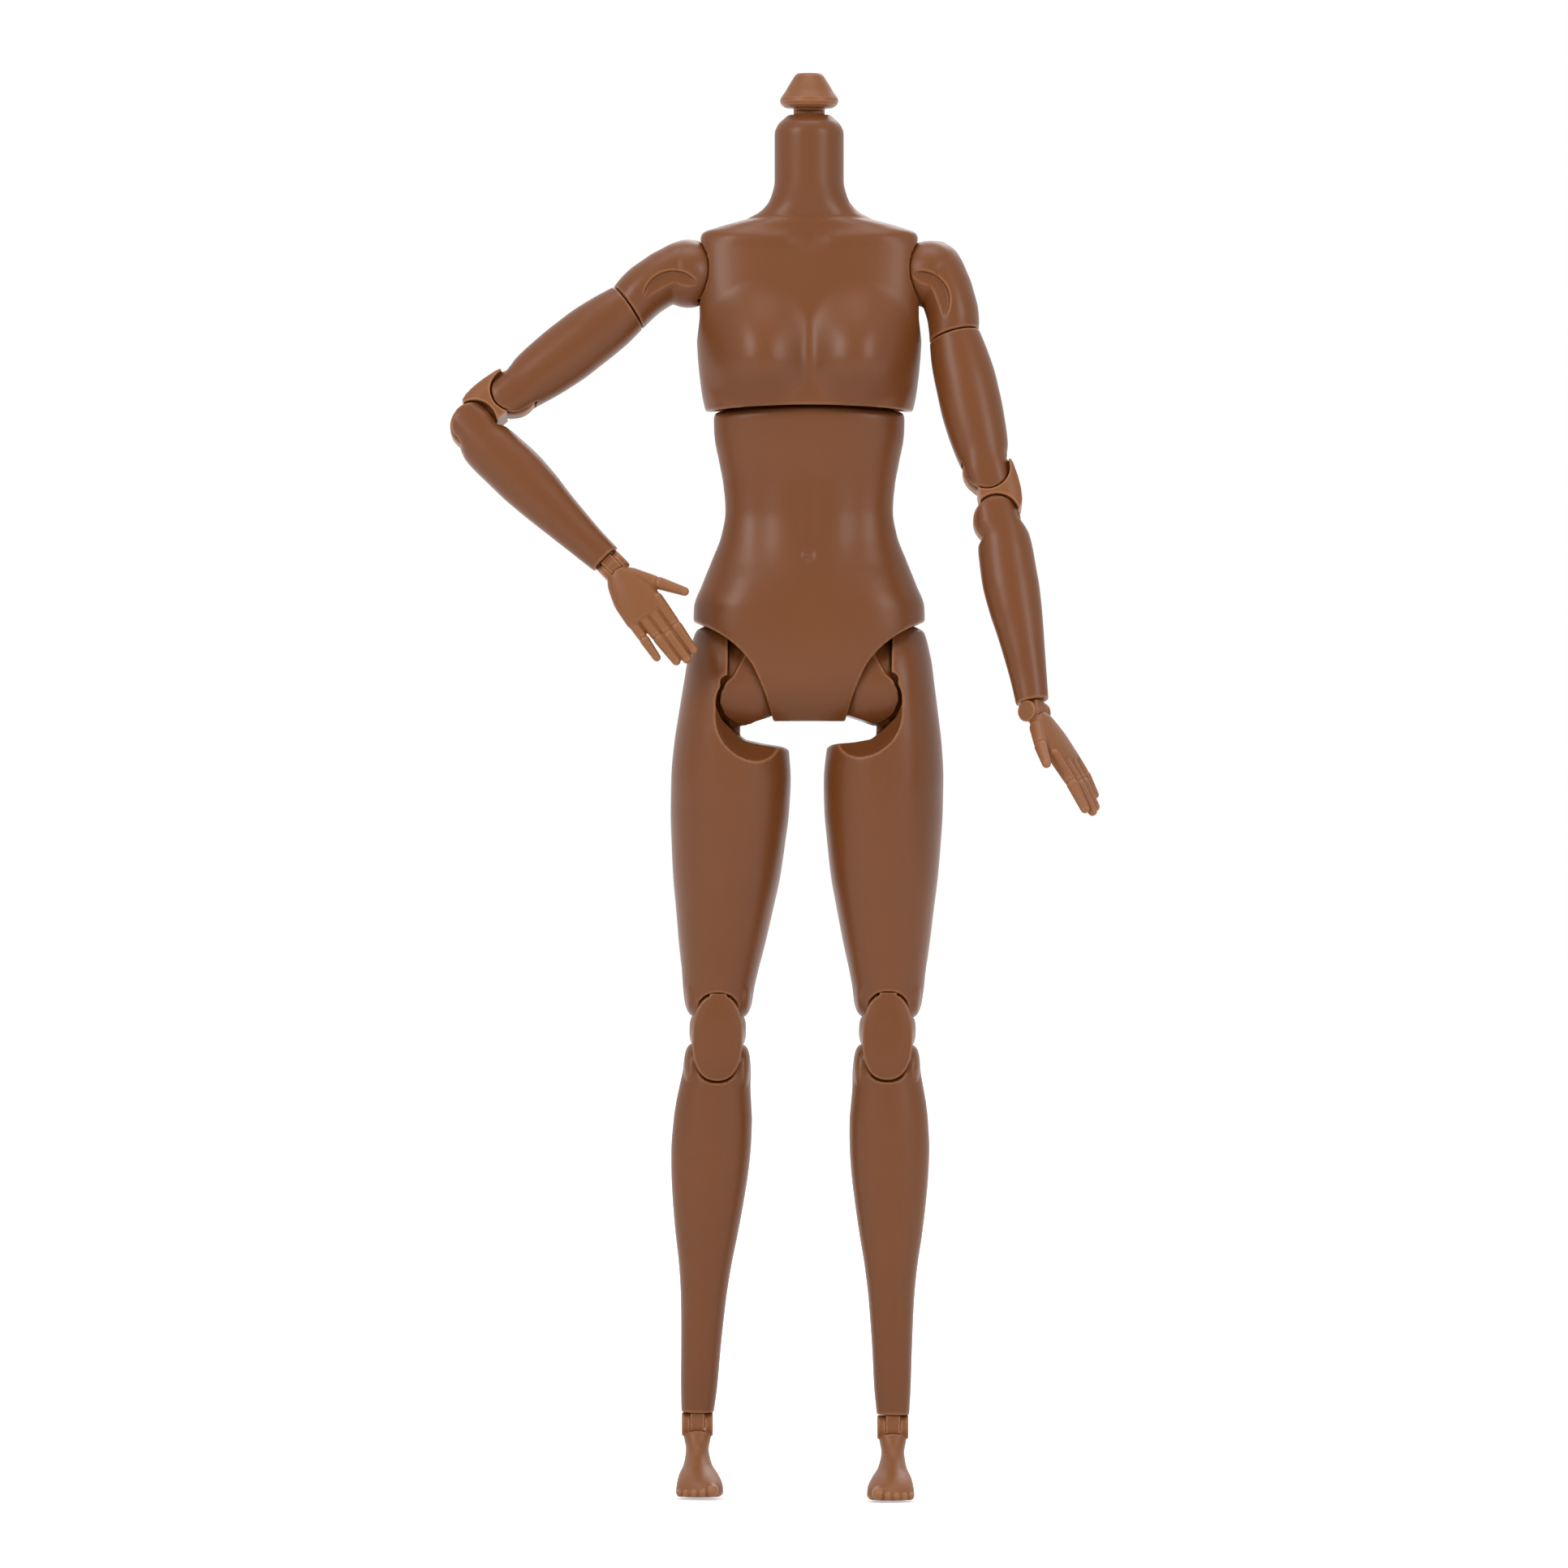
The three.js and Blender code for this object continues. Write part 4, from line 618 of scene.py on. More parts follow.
def sculpt_chest(points):
    """The bust, collar bones and shoulder blades, and the hollows between them."""
    x, y, z = points.T
    rise = np.zeros(len(points))
    blades = np.zeros(len(points))
    for side in (-1, 1):
        bust, blade = (side * FORM_OFFSET, BUST_HEIGHT), (side * FORM_OFFSET, BLADE_HEIGHT)
        rise += dome(points, bust, across=11, above=14.5, below=9.6, height=4.4)
        blades += mound(points, blade, spread=(5, 6), height=1.1)
    collar_line = COLLAR_HEIGHT + 0.06 * np.abs(x)
    collar_length = ramp(np.abs(x), 2.6, 2) * ramp(np.abs(x), 18, -4)
    rise += 0.44 * bell(z, collar_line, 0.9) * collar_length
    notch, cleavage = (0, COLLAR_HEIGHT - 0.1), (0, BUST_HEIGHT - 1.4)
    rise -= mound(points, notch, spread=(1.5, 1.3), height=0.5)
    rise -= mound(points, cleavage, spread=(2.2, 5), height=0.5)
    furrow = 0.5 * bell(x, 0, 2) * ramp(z, COLLAR_HEIGHT + 2.4, -6) * ramp(z, CHEST_RIM + 1, 6)
    depth = y - rise * ramp(y, 0, -FORM_DEPTH) + (blades - furrow) * ramp(y, 0, FORM_DEPTH)
    return np.stack([x, depth, z], axis=1)


def make_chest():
    """The chest's outer body, the pieces joined to it, and what is cut from them."""
    rise = SHOULDER_HEIGHT - CHEST_RIM

    def at(part):
        return CHEST_RIM + part * rise

    stations = [
        (at(0), 0, 19.3, 11.2, 9.4, 2.4),
        (at(0.13), 0, 20, 11.6, 9.7, 2.5),
        (at(0.42), 0, 20.8, 11, 10.2, 2.6),
        (at(0.7), 0, 21.1, 10, 10.4, 2.8),
        (at(1), 0, 20.8, 8.6, 9.9, 3),
        (at(1.2), 0, 20.5, 7.4, 9, 3),
        (at(1.29), 0, 20, 6.7, 8.4, 2.8),
        (at(1.335), 0, 17.3, 6.3, 7.9, 2.6),
        (at(1.375), 0, 13.8, 6, 7.5, 2.4),
        (at(1.41), 0, 10.2, 5.6, 7, 2.2),
    ]
    shell = loft(stations, **TORSO_DETAIL, sculpt=sculpt_chest)
    # The neck, by how far below its top each section lies
    stations = [
        (20.6, 12.6, 5.5, 6.8),
        (19.5, 11.7, 5.6, 6.7),
        (18.2, 9.4, 5.8, 6.6),
        (17.3, 8.4, 5.9, 6.5),
        (16.3, 7.6, 6, 6.4),
        (14.5, 6.9, 6.2, 6.4),
        (12.5, 6.5, 6.3, 6.4),
        (3.6, 6.5, 6.3, 6.4),
        (1.8, 5.8, 5.7, 5.8),
        (0.9, 4.9, 4.8, 4.9),
        (0, 3.9, 3.8, 3.9),
    ]
    neck = loft([(NECK_TOP - below, 0, *size) for below, *size in stations], sides=72)
    floor_top = at(0.52)
    floor_bottom = floor_top - CHEST_FLOOR
    stations = [
        (CHEST_RIM - PAST, 0, 18.2, 10.1, 8.3, 2.4),
        (at(0.2), 0, 18.6, 10.6, 8.8, 2.4),
        (floor_bottom, 0, 15.5, 9.6, 8.8, 2.4),
    ]
    room = loft(stations, sides=96)
    arch_middle = (0, 0, CHEST_RIM + RIM_ARCH - RIM_RADIUS)
    cut = [
        room,
        block((-14, 14), (-5.8, 6.6), (floor_top, at(1.24))),
        rod("z", WAIST_SLOT, floor_bottom - PAST, floor_top + PAST),
        rod("z", NECK_MOUTH, NECK_TOP - NECK_LIP - PAST, NECK_TOP + PAST),
        rod("z", NECK_BORE, NECK_TOP - 14, NECK_TOP - NECK_LIP),
        rod("y", RIM_RADIUS, -FAR, FAR, arch_middle, sides=1200),
    ]
    # The disc that a shoulder cap turns against, then a cone that leaves the cap room
    beside = [(20.4, 0), (20.4, 9.2), (21.6, 17), (FAR, 17), (FAR, 0)]
    for side in (-1, 1):
        stem = sorted((side * 13.5, side * SHOULDER_HALF_SPAN))
        cut += [
            ball(SHOULDER_SOCKET, (side * SHOULDER_HALF_SPAN, 0, SHOULDER_HEIGHT)),
            turned(to_side(beside, side), "x", (0, 0, SHOULDER_HEIGHT)),
            rod("x", SHOULDER_STEM_HOLE, *stem, (0, 0, SHOULDER_HEIGHT)),
        ]
    return shell, [neck], cut


def halves(base, add, cut):
    """The front and back shells of the torso, split by a fine groove."""
    front = block(ALL, (-FAR, -SEAM / 2), (0, TALL))
    back = block(ALL, (SEAM / 2, FAR), (0, TALL))
    return [modelled(base, add, cut, [half], TORSO_VOXEL) for half in (front, back)]


def sculpt_pelvis(points):
    """The belly's muscles, the hip bones and navel, and behind them the furrow and cleft."""
    x, y, z = points.T
    fade = ramp(z, BELLY_TOP, -6)
    rise = -0.35 * bell(x, 0, 1.3) * ramp(z, NAVEL_HEIGHT + 1, 4) * fade
    for side in (-1, 1):
        rise -= 0.3 * bell(x, side * 8.2, 1.6) * ramp(z, NAVEL_HEIGHT - 3, 6) * fade
        hip_bone = (side * 13.5, NAVEL_HEIGHT - 7)
        rise += mound(points, hip_bone, spread=(3.6, 4.5), height=0.5)
    rise += mound(points, (0, NAVEL_HEIGHT - 1), spread=(8, 6), height=0.5)
    rise -= mound(points, (-0.2, NAVEL_HEIGHT), spread=(0.55, 0.6), height=1.0)
    furrow = 0.8 * bell(x, 0, 1.5) * ramp(z, NAVEL_HEIGHT - 7, 6)
    cleft = 2.2 * bell(x, 0, 1.2) * ramp(z, NAVEL_HEIGHT - 8, -6)
    depth = y - rise * ramp(y, 0, -FORM_DEPTH) - (furrow + cleft) * ramp(y, 0, FORM_DEPTH)
    arch = RIM_ARCH - x**2 / (2 * RIM_RADIUS)
    return np.stack([x, depth, z + arch * ramp(z, WAIST_HEIGHT, 5)], axis=1)


def leg_opening():
    """The edge of the leg opening seen from the front, about the hip's middle."""
    corner = [(5.7, 10.9), (2.4, 9.4), (-1.4, 6.8), (-4.4, 3.3), (-6.7, -1.5), (-8.2, -6)]
    t = np.arange(len(corner))
    where = np.linspace(0, len(corner) - 1, 40)
    x, z = (spline(t, values, where) for values in np.array(corner).T)
    outside, below = 12, -20
    line = [(outside, 11.6), *((max(a, HIP_INNER), b) for a, b in zip(x, z))]
    return [*line, (HIP_INNER, -8), (HIP_INNER, below), (outside, below)]


def make_pelvis():
    """The abdomen's and pelvis's outer body, nothing joined to it, and what is cut from it."""
    rise = WAIST_HEIGHT - HIP_HEIGHT

    def at(part):
        return HIP_HEIGHT + part * rise

    stations = [
        (at(-0.171), 0, 15, 6, 6, 2.2),
        (at(-0.109), 0, 18, 8.6, 9.2, 2.2),
        (at(-0.04), 0, 20, 10.2, 11.8, 2.4),
        (at(0.076), 0, 21.3, 11.2, 13.2, 2.65),
        (at(0.19), 0, 21.6, 11.5, 13.4, 2.75),
        (at(0.314), 0, 21.5, 11.2, 12.6, 2.6),
        (at(0.42), 0, 19.9, 10.4, 11, 2.35),
        (at(0.524), 0, 18.1, 9.2, 9.3, 2.2),
        (at(0.628), 0, 16.4, 8.2, 8, 2.2),
        (at(0.734), 0, 15.65, 7.6, 7.2, 2.2),
        (at(0.838), 0, 16, 7.6, 7.3, 2.2),
        (at(0.942), 0, 16.8, 8, 7.6, 2.2),
        (WAIST_HEIGHT + 2.4, 0, 17.7, 8.6, 7.9, 2.2),
        (WAIST_HEIGHT + 5.4, 0, 17.8, 8.9, 7.9, 2.2),
        (WAIST_HEIGHT + 6.35, 0, 17.6, 8.7, 7.7),
        (WAIST_HEIGHT + 6.75, 0, 16.6, 7.9, 6.9),
        (WAIST_HEIGHT + 7.6, 0, 13.4, 6.4, 6),
        (WAIST_HEIGHT + 9.2, 0, 10.8, 5.3, 5.1),
        (WAIST_HEIGHT + 10.6, 0, 7, 4.2, 4),
    ]
    shell = loft(stations, **TORSO_DETAIL, sculpt=sculpt_pelvis)
    waist = (0, 0, WAIST_HEIGHT)
    bottom, top = WAIST_HEIGHT - 1, WAIST_HEIGHT + 15
    spread = WAIST_SLOT + (top - bottom) * math.tan(WAIST_BEND_ROOM * DEGREE)
    wedge = [(-WAIST_SLOT, bottom), (WAIST_SLOT, bottom), (spread, top), (-spread, top)]
    cut = [
        rod("x", WAIST_KNUCKLE_ROOM, -2.65, 2.65, waist),
        plate(wedge, "x", -WAIST_SLOT, WAIST_SLOT),
        rod("x", WAIST_PIN_HOLE, -8.35, 8.35, waist),
        rod("x", HIP_AXLE_HOLE, -FAR, FAR, (0, 0, HIP_HEIGHT)),
    ]
    opening = leg_opening()
    # The socket, with a flat lip beside the keel, as (x, radius)
    socket = [(HIP_INNER + 0.1, 0), (HIP_INNER + 0.1, 8.1), (-6.7, 9.15), (-5.8, 9.4)]
    for a in np.linspace(-0.5, 1.5, 28):
        socket.append((HIP_SOCKET * math.sin(a), HIP_SOCKET * math.cos(a)))
    socket.append((HIP_SOCKET, 0))
    for side in (-1, 1):
        hip = (side * HIP_HALF_SPAN, 0, HIP_HEIGHT)
        edge = [(side * (HIP_HALF_SPAN + x), HIP_HEIGHT + z) for x, z in opening]
        cut.append(plate(edge, "y", -FAR, FAR))
        cut.append(turned(to_side(socket, side), "x", hip, 96))
    return shell, [], cut


def make_head_knob():
    foot = NECK_TOP + 1.3
    profile = [
        (NOD_HEIGHT, 0), (NOD_HEIGHT, NECK_EYE), (foot - 0.6, NECK_EYE), (foot - 0.5, 2.9),
        (foot - 0.1, 2.9), (foot, 4.5), (foot + 0.5, 5.15), (foot + 1.15, 5.45),
        (foot + 1.75, 5.35), (foot + 2.95, 4.5), (foot + 4.5, 3.6), (foot + 5.95, 2.7),
        (foot + 6.4, 2.2), (foot + 6.4, 0),
    ]
    knob = turned(profile)
    tongue = block((-NECK_TONGUE, NECK_TONGUE), ALL, (0, NECK_TOP))
    above = block(ALL, ALL, (NECK_TOP - 0.01, TALL))
    trimmed = joined(knob, keep=[joined(tongue, [above])])
    nod = (0, 0, NOD_HEIGHT)
    eye = rod("x", NECK_EYE, -NECK_TONGUE, NECK_TONGUE, nod)
    hole = rod("x", NECK_PIN_HOLE, -FAR, FAR, nod)
    stem = loft([(z, 0, 2.9, 1.9, 1.9, 2.6) for z in (NECK_TOP, foot + 0.3)], sides=48)
    return modelled(trimmed, add=[eye, stem], cut=[hole], voxel=0.13, soften=4)


# Arm


def make_shoulder_cap():
    end = CAP_LENGTH - 0.15
    stations = [
        (-5.2, 1, 3.1, 3.1, 3.1),
        (-2.6, 1.15, 4.8, 5, 5),
        (0.5, 1.4, 5.25, 5.9, 5.9),
        (3, 1.7, 5.25, 6, 6),
        (0.42 * end, 2.05, 4.95, 6, 6),
        (0.6 * end, 2.1, 4.9, 5.9, 5.9),
        (0.83 * end, 1.75, 4.85, 5.6, 5.6),
        (end, 1.2, 4.75, 5.1, 5.1),
    ]
    muscle = loft(stations, down=True)
    # The slot for the knuckle's stem, swept from the lowest to the highest lift
    lowest, highest, reach, stem = 5, 100, 12, 2.25

    def toward(degrees, distance):
        return -distance * math.cos(degrees * DEGREE), distance * math.sin(degrees * DEGREE)

    fan = [toward(a, reach) for a in range(lowest, highest + 1, 5)]
    low, high = toward(lowest - 90, stem), toward(highest + 90, stem)
    under, over = ((x + dx, z + dz) for (x, z), (dx, dz) in ((fan[0], low), (fan[-1], high)))
    slot = [low, high, over, *fan[::-1], under]
    cut = [
        plate(slot, "y", -SHOULDER_SLOT, SHOULDER_SLOT),
        rod("y", SHOULDER_KNUCKLE_ROOM, -SHOULDER_SLOT, SHOULDER_SLOT),
        rod("y", SHOULDER_PIN_HOLE, -4.95, 4.95),
        rod("z", SWIVEL_HOLE, -CAP_LENGTH - 1, -CAP_LENGTH + 5.95),
    ]
    # A flat scoop on the front and one on the back
    cut += [rod("y", 5.5, *ends, (-3.6, 0, -6)) for ends in ((-FAR, -5.1), (5.1, FAR))]
    return modelled(ball(6.3), add=[muscle], cut=cut, voxel=0.22)


def fold_room(fold):
    """Seen along an elbow hinge, what a limb's end gives up to clear the link when it bends."""
    inside = arc((0, 0), ELBOW_END_RADIUS, 90, 144 + fold)
    outside = arc((0, 0), ELBOW_END_RADIUS + 5, 144 + fold, 90)
    return inside + outside


def make_upper_arm():
    length = UPPER_ARM_LENGTH - CAP_LENGTH
    stations = [
        (0.15, 1.2, 4.8, 5.1, 5.1),
        (0.16 * length, 1.05, 5.4, 5.4, 5.4),
        (0.33 * length, 0.95, 5.7, 5.5, 5.5),
        (0.5 * length, 0.7, 5.75, 5.3, 5.3),
        (0.68 * length, 0.5, 5.5, 5, 5),
        (0.84 * length, 0.35, 5, 4.6, 4.6),
        (0.93 * length, 0.1, 4.4, 4.4, 4.4, 2.4),
        (length, 0, 4.15, 4.3, 4.3, 2.8),
        (length + 3, 0, 3.9, 4, 4, 2.8),
        (length + 4.3, 0, 3.4, 3.5, 3.5, 2.6),
    ]
    limb = loft(stations, down=True)
    hinge = (0, 0, -length)
    fold = plate([(x, -z - length) for x, z in fold_room(26)], "y", -FAR, FAR)
    above = block(ALL, ALL, (-length, FAR))
    end = rod("y", ELBOW_END_RADIUS, -FAR, FAR, hinge, 96)
    limb = joined(limb, cut=[fold], keep=[joined(above, [end])])
    add = [rod("z", SWIVEL_PEG, -1, 5.6), rod("z", 2.6, 3.8, 5.6)]
    cut = [
        rod("y", ELBOW_KNUCKLE_ROOM, -ELBOW_SLOT, ELBOW_SLOT, hinge),
        block((-FAR, 0), (-ELBOW_SLOT, ELBOW_SLOT), (-length - FAR, -length + 0.8)),
        rod("y", ELBOW_PIN_HOLE, -ELBOW_PIN_HALF, ELBOW_PIN_HALF, hinge),
    ]
    return modelled(limb, add=add, cut=cut, voxel=0.2)


def make_elbow_link():
    span = ELBOW_LINK_LENGTH
    reach = ELBOW_END_RADIUS + GAP
    elbow = [
        *arc((0, 0), reach, 10, -124),
        *arc((0, -span), reach, 124, 16),
        (0.95 * reach + 0.75, -0.86 * span),
        (5.35, -0.72 * span),
        (5.55, -0.5 * span),
        (5.45, -0.25 * span),
        (5.1, 0),
        (4.75, 1),
    ]
    body = plate(elbow, "y", -4.1, 4.1)
    hinges = [(0, 0, 0), (0, 0, -span)]
    half = 1.5
    add = [rod("y", ELBOW_KNUCKLE, -half, half, hinge, 72) for hinge in hinges]
    add.append(block((-2.4, 2.4), (-half, half), (-span, 0)))
    cut = [rod("y", ELBOW_PIN_HOLE, -FAR, FAR, hinge) for hinge in hinges]
    stations = [
        (-3, 0.3, 5.4, 4.2, 4.2, 2.6),
        (1, 0.3, 5.6, 4.3, 4.3, 2.6),
        (span / 2, 0.3, 5.9, 4.3, 4.3, 2.6),
        (span - 1, 0.3, 5.6, 4.3, 4.3, 2.6),
        (span + 3, 0.3, 5.4, 4.2, 4.2, 2.6),
    ]
    rounding = loft(stations, down=True)
    return modelled(joined(body, keep=[rounding]), add=add, cut=cut, voxel=0.16)


def make_forearm():
    end = FOREARM_LENGTH - WRIST_EAR - SEAM
    stations = [
        (-4.3, 0, 3.4, 3.5, 3.5, 2.6),
        (-3, 0, 3.9, 4, 4, 2.8),
        (0, 0, 4.15, 4.3, 4.3, 2.8),
        (0.045 * end, 0.3, 4.5, 4.4, 4.4, 2.4),
        (0.1 * end, 0.6, 4.85, 4.5, 4.5),
        (0.18 * end, 0.5, 5.1, 4.6, 4.6),
        (0.34 * end, 0.3, 5.2, 4.6, 4.6),
        (0.48 * end, 0.3, 4.9, 4.4, 4.4),
        (0.6 * end, 0.35, 4.4, 4, 4),
        (0.74 * end, 0.3, 3.85, 3.6, 3.6),
        (0.87 * end, 0.2, 3.4, 3.1, 3.1),
        (end, 0, 3.05, 2.8, 2.8),
    ]
    limb = loft(stations, down=True)
    fold = plate(fold_room(80), "y", -FAR, FAR)
    below = block(ALL, ALL, (-FAR, 0))
    elbow = rod("y", ELBOW_END_RADIUS, -FAR, FAR, sides=96)
    limb = joined(limb, cut=[fold], keep=[joined(below, [elbow])])
    bore = 5.3 - FOREARM_LENGTH
    cut = [
        rod("y", ELBOW_KNUCKLE_ROOM, -ELBOW_SLOT, ELBOW_SLOT),
        block((-FAR, 0), (-ELBOW_SLOT, ELBOW_SLOT), (-3.2, FAR)),
        rod("y", ELBOW_PIN_HOLE, -ELBOW_PIN_HALF, ELBOW_PIN_HALF),
        rod("z", 1.5, -FAR, bore),
        rod("z", 2.0, bore - 2, bore),
    ]
    return modelled(limb, cut=cut, voxel=0.2)


HAND_LENGTH = 23.2
PALM_LENGTH = 11.0
LITTLE_SIDE_LEAN = 9.0  # degrees that the hand leans towards its little finger
FINGERS = [  # root and tip across the hand, share of the hand's length, radius
    (-3.1, -3.0, 0.97, 1.2),
    (-1.0, -1.1, 1.0, 1.25),
    (1.1, 0.7, 0.96, 1.2),
    (3.1, 3.3, 0.84, 1.05),
]
THUMB = [(-1.8, 0.2, -3.4), (-5.2, 0.1, -7.7), (-8.5, -0.5, -12.6)]  # root, knuckle and tip


def make_hand():
    stations = [
        (1.2, 0, 2.1, 1.7, 1.7),
        (2.6, 0.1, 2.9, 1.9, 1.9),
        (0.4 * PALM_LENGTH, 0.1, 3.5, 1.9, 1.9),
        (0.65 * PALM_LENGTH, 0.1, 4.1, 1.8, 1.8),
        (PALM_LENGTH, 0.1, 4.2, 1.4, 1.4),
        (PALM_LENGTH + 0.8, 0.1, 3.6, 0.9, 0.9),
    ]
    palm = loft(stations, sides=40, down=True)
    add = []
    for root, tip, reach, thick in FINGERS:
        start = Vector((root, 0, -PALM_LENGTH + 1.2))
        end = Vector((tip, 0.9, -HAND_LENGTH * reach))
        middle = start.lerp(end, 0.52) + Vector((0, -0.35, 0))
        add.append(capsule(start, middle, thick, 0.88 * thick))
        add.append(capsule(middle, end, 0.9 * thick, 0.72 * thick))
    add.append(capsule(THUMB[0], THUMB[1], 1.6, 1.25))
    add.append(capsule(THUMB[1], THUMB[2], 1.2, 0.85))
    hand = tilted(joined(palm, add), -LITTLE_SIDE_LEAN, "Y")
    ears = rod("x", WRIST_EAR, -2.5, 2.5)
    cut = [
        rod("x", WRIST_ROOM, -WRIST_SLOT, WRIST_SLOT),
        block((-WRIST_SLOT, WRIST_SLOT), ALL, (-0.1, FAR)),
        rod("x", WRIST_PIN_HOLE, -2.2, 2.2),
    ]
    return modelled(hand, add=[ears], cut=cut, voxel=0.13, soften=3)


def make_peg(radius, half, stem, length, pin_hole, voxel):
    """The tongue between a hand's or foot's two ears, on the peg that turns in the limb."""
    body = rod("x", radius, -half, half)
    add = [block((-half, half), (0.1 - radius, radius - 0.1), (0, radius))]
    add.append(rod("z", stem, 0, length))
    cut = [rod("x", pin_hole, -FAR, FAR)]
    return modelled(body, add=add, cut=cut, voxel=voxel, soften=3)


# Leg


def make_hip_ball():
    inner = HIP_INNER + 0.35
    profile = [
        (inner, 0), (inner, 6.3), (-6.3, 6.9), (-4.3, 8), (-2.2, 8.8), (-0.6, 9.05), (0.3, 8.3),
        (1.6, 7.8), (2.9, 6.7), (4.1, 4.9), (5.1, 2.7), (5.5, 0),
    ]
    barrel = turned(profile, "x", sides=96)
    profile = [(inner, 0), (inner, 7.8), (-6.7, 8.8), (-4.4, 9.4), (-1.5, 9.55), (1.5, 9.55)]
    front = turned([*profile, (1.5, 0)], "x", sides=96)
    # Its face under the leg opening's edge, which ends short of the thigh at every spread
    face = [(-12, -5.8), (-8.4, -6.4), (-5.5, -7.3), (-3.2, -8.2), (-1.6, -7.6), (0.3, -6.2)]
    face += [(1.3, -4), (1.2, -2), (0.2, 0), (-1.1, 1.1), (-2.3, 3.3), (-3.95, 6.2), (-12, 6.2)]
    barrel = joined(barrel, [joined(front, keep=[plate(face, "y", -FAR, FAR)])])
    # The slot for the thigh's tongue, wider outward, where the leg spreads most
    half, deep = 2.95, 12
    inward, outward = deep * math.tan(8 * DEGREE), deep * math.tan(32 * DEGREE)
    fan = [(-half, 0), (-half - inward, -deep), (half + outward, -deep), (half + 1.4, 0)]
    cut = [
        plate(fan, "y", -HIP_SLOT, HIP_SLOT),
        rod("y", HIP_KNUCKLE_ROOM, -HIP_SLOT, HIP_SLOT),
        rod("y", HIP_PIN_HOLE, -6.55, 6.55),
        rod("x", HIP_AXLE_HOLE, -FAR, -3.95),
    ]
    return modelled(barrel, cut=cut, voxel=0.25)


def make_thigh():
    def at(part):
        return part * THIGH_LENGTH

    stations = [
        (-10.9, 2.2, 2, 2.4, 2.4),
        (-10.2, 1.2, 4.4, 4.4, 4.4),
        (-9.1, -0.4, 6.4, 6.1, 6.1),
        (-4.5, -1, 8.3, 9.6, 9.7),
        (0, -1, 9, 10.7, 11, 2.1),
        (at(0.12), -1, 10, 11.3, 11.7, 2.1),
        (at(0.21), -1.02, 10.7, 11.5, 11.8, 2.1),
        (at(0.32), -1.08, 11.15, 11.4, 11.4, 2.1),
        (at(0.42), -0.98, 11.04, 11.1, 10.8),
        (at(0.52), -0.8, 10.6, 10.6, 10),
        (at(0.63), -0.6, 9.98, 9.9, 9.1),
        (at(0.73), -0.34, 9.1, 9, 8),
        (at(0.84), 0, 8.1, 8, 6.6),
        (at(0.94), 0.32, 7.1, 7, 5),
        (at(1), KNEE_OFFSET, 6.6, 6.5, 4.5),
        (THIGH_LENGTH + 2.2, KNEE_OFFSET, 6.3, 6.1, 3.95),
        (THIGH_LENGTH + 3.9, KNEE_OFFSET, 5.7, 5.3, 2.3),
        (THIGH_LENGTH + 4.7, KNEE_OFFSET, 5, 4.2, 1),
    ]
    limb = loft(stations, sides=96, down=True)
    # The thigh's top follows a ball that stays clear of the pelvis
    cover = joined(ball(11.1, sides=96), [block(ALL, ALL, (-2 * FAR, -1.5))])
    limb = joined(limb, keep=[cover])
    # The recess in the groin, seen from the front
    groin = [(-0.1, 20), (-20, 20), (-20, -13.4), (-12.2, -13.4), (-11.8, -12.6), (-11, -12.2)]
    groin += [(-10.5, -12.05), (-6.65, -11.6), (-3.65, -11), (-1.8, -9.6), (-0.6, -8.4)]
    groin += [(0.9, -6.9), (2, -4.4), (1.9, -2.6), (1.5, -1.4), (-0.1, 1.3)]
    hollow = ball(8.6, (-6.5, -12, -6), sides=96)
    # Room for the hip ball, which leaves the thigh's outer wall whole
    column = loft([(z, -1, 7.1, 9.6, 9.6) for z in ALL], sides=96, step=FAR)
    inward = block((-FAR, 0), ALL, ALL)
    cup = joined(ball(9.4, sides=96), keep=[joined(column, [inward])])
    limb = joined(limb, cut=[plate(groin, "y", -FAR, FAR), cup, hollow])
    knee = (KNEE_OFFSET, 0, -THIGH_LENGTH)
    add = [
        block((-2.6, 2.6), (-HIP_TONGUE, HIP_TONGUE), (-11, 0)),
        rod("y", 3.2, -HIP_TONGUE, HIP_TONGUE),
        knee_end(knee),
    ]
    across = (KNEE_OFFSET - KNEE_SLOT, KNEE_OFFSET + KNEE_SLOT)
    cut = [
        rod("y", HIP_PIN_HOLE, -FAR, FAR),
        rod("x", KNEE_KNUCKLE_ROOM, *across, (0, 0, -THIGH_LENGTH)),
        block(across, (0, FAR), (-THIGH_LENGTH - FAR, -THIGH_LENGTH + 2.8)),
        moved(kneecap_room(), knee),
        rod("x", KNEE_PIN_HOLE, -KNEE_PIN_HALF, KNEE_PIN_HALF, knee),
    ]
    return modelled(limb, add=add, cut=cut, voxel=0.26)


KNEECAP_MIDDLE = (0, -8.4)  # across and up from the knee link's upper hinge
KNEECAP_SIZE = (4.65, 8.0)  # half sizes
KNEECAP_ROOM = (4.95, 8.4)
KNEECAP_SQUARENESS = 2.4


def knee_end(at):
    """The round end that a thigh or shin turns on at the knee, narrowing towards its sides."""
    half = [(4.9, 4.6), (5.5, 4.1), (5.95, 3.2), (6.15, 2), (6.15, 0)]
    return turned(to_side(half, -1) + half, "x", at, 72)


def kneecap_room():
    """The recess that the kneecap sits in, placed from the knee link's upper hinge."""
    outline = ellipse(KNEECAP_MIDDLE, *KNEECAP_ROOM, 96, KNEECAP_SQUARENESS)
    return plate(outline, "y", -FAR, -4.5)


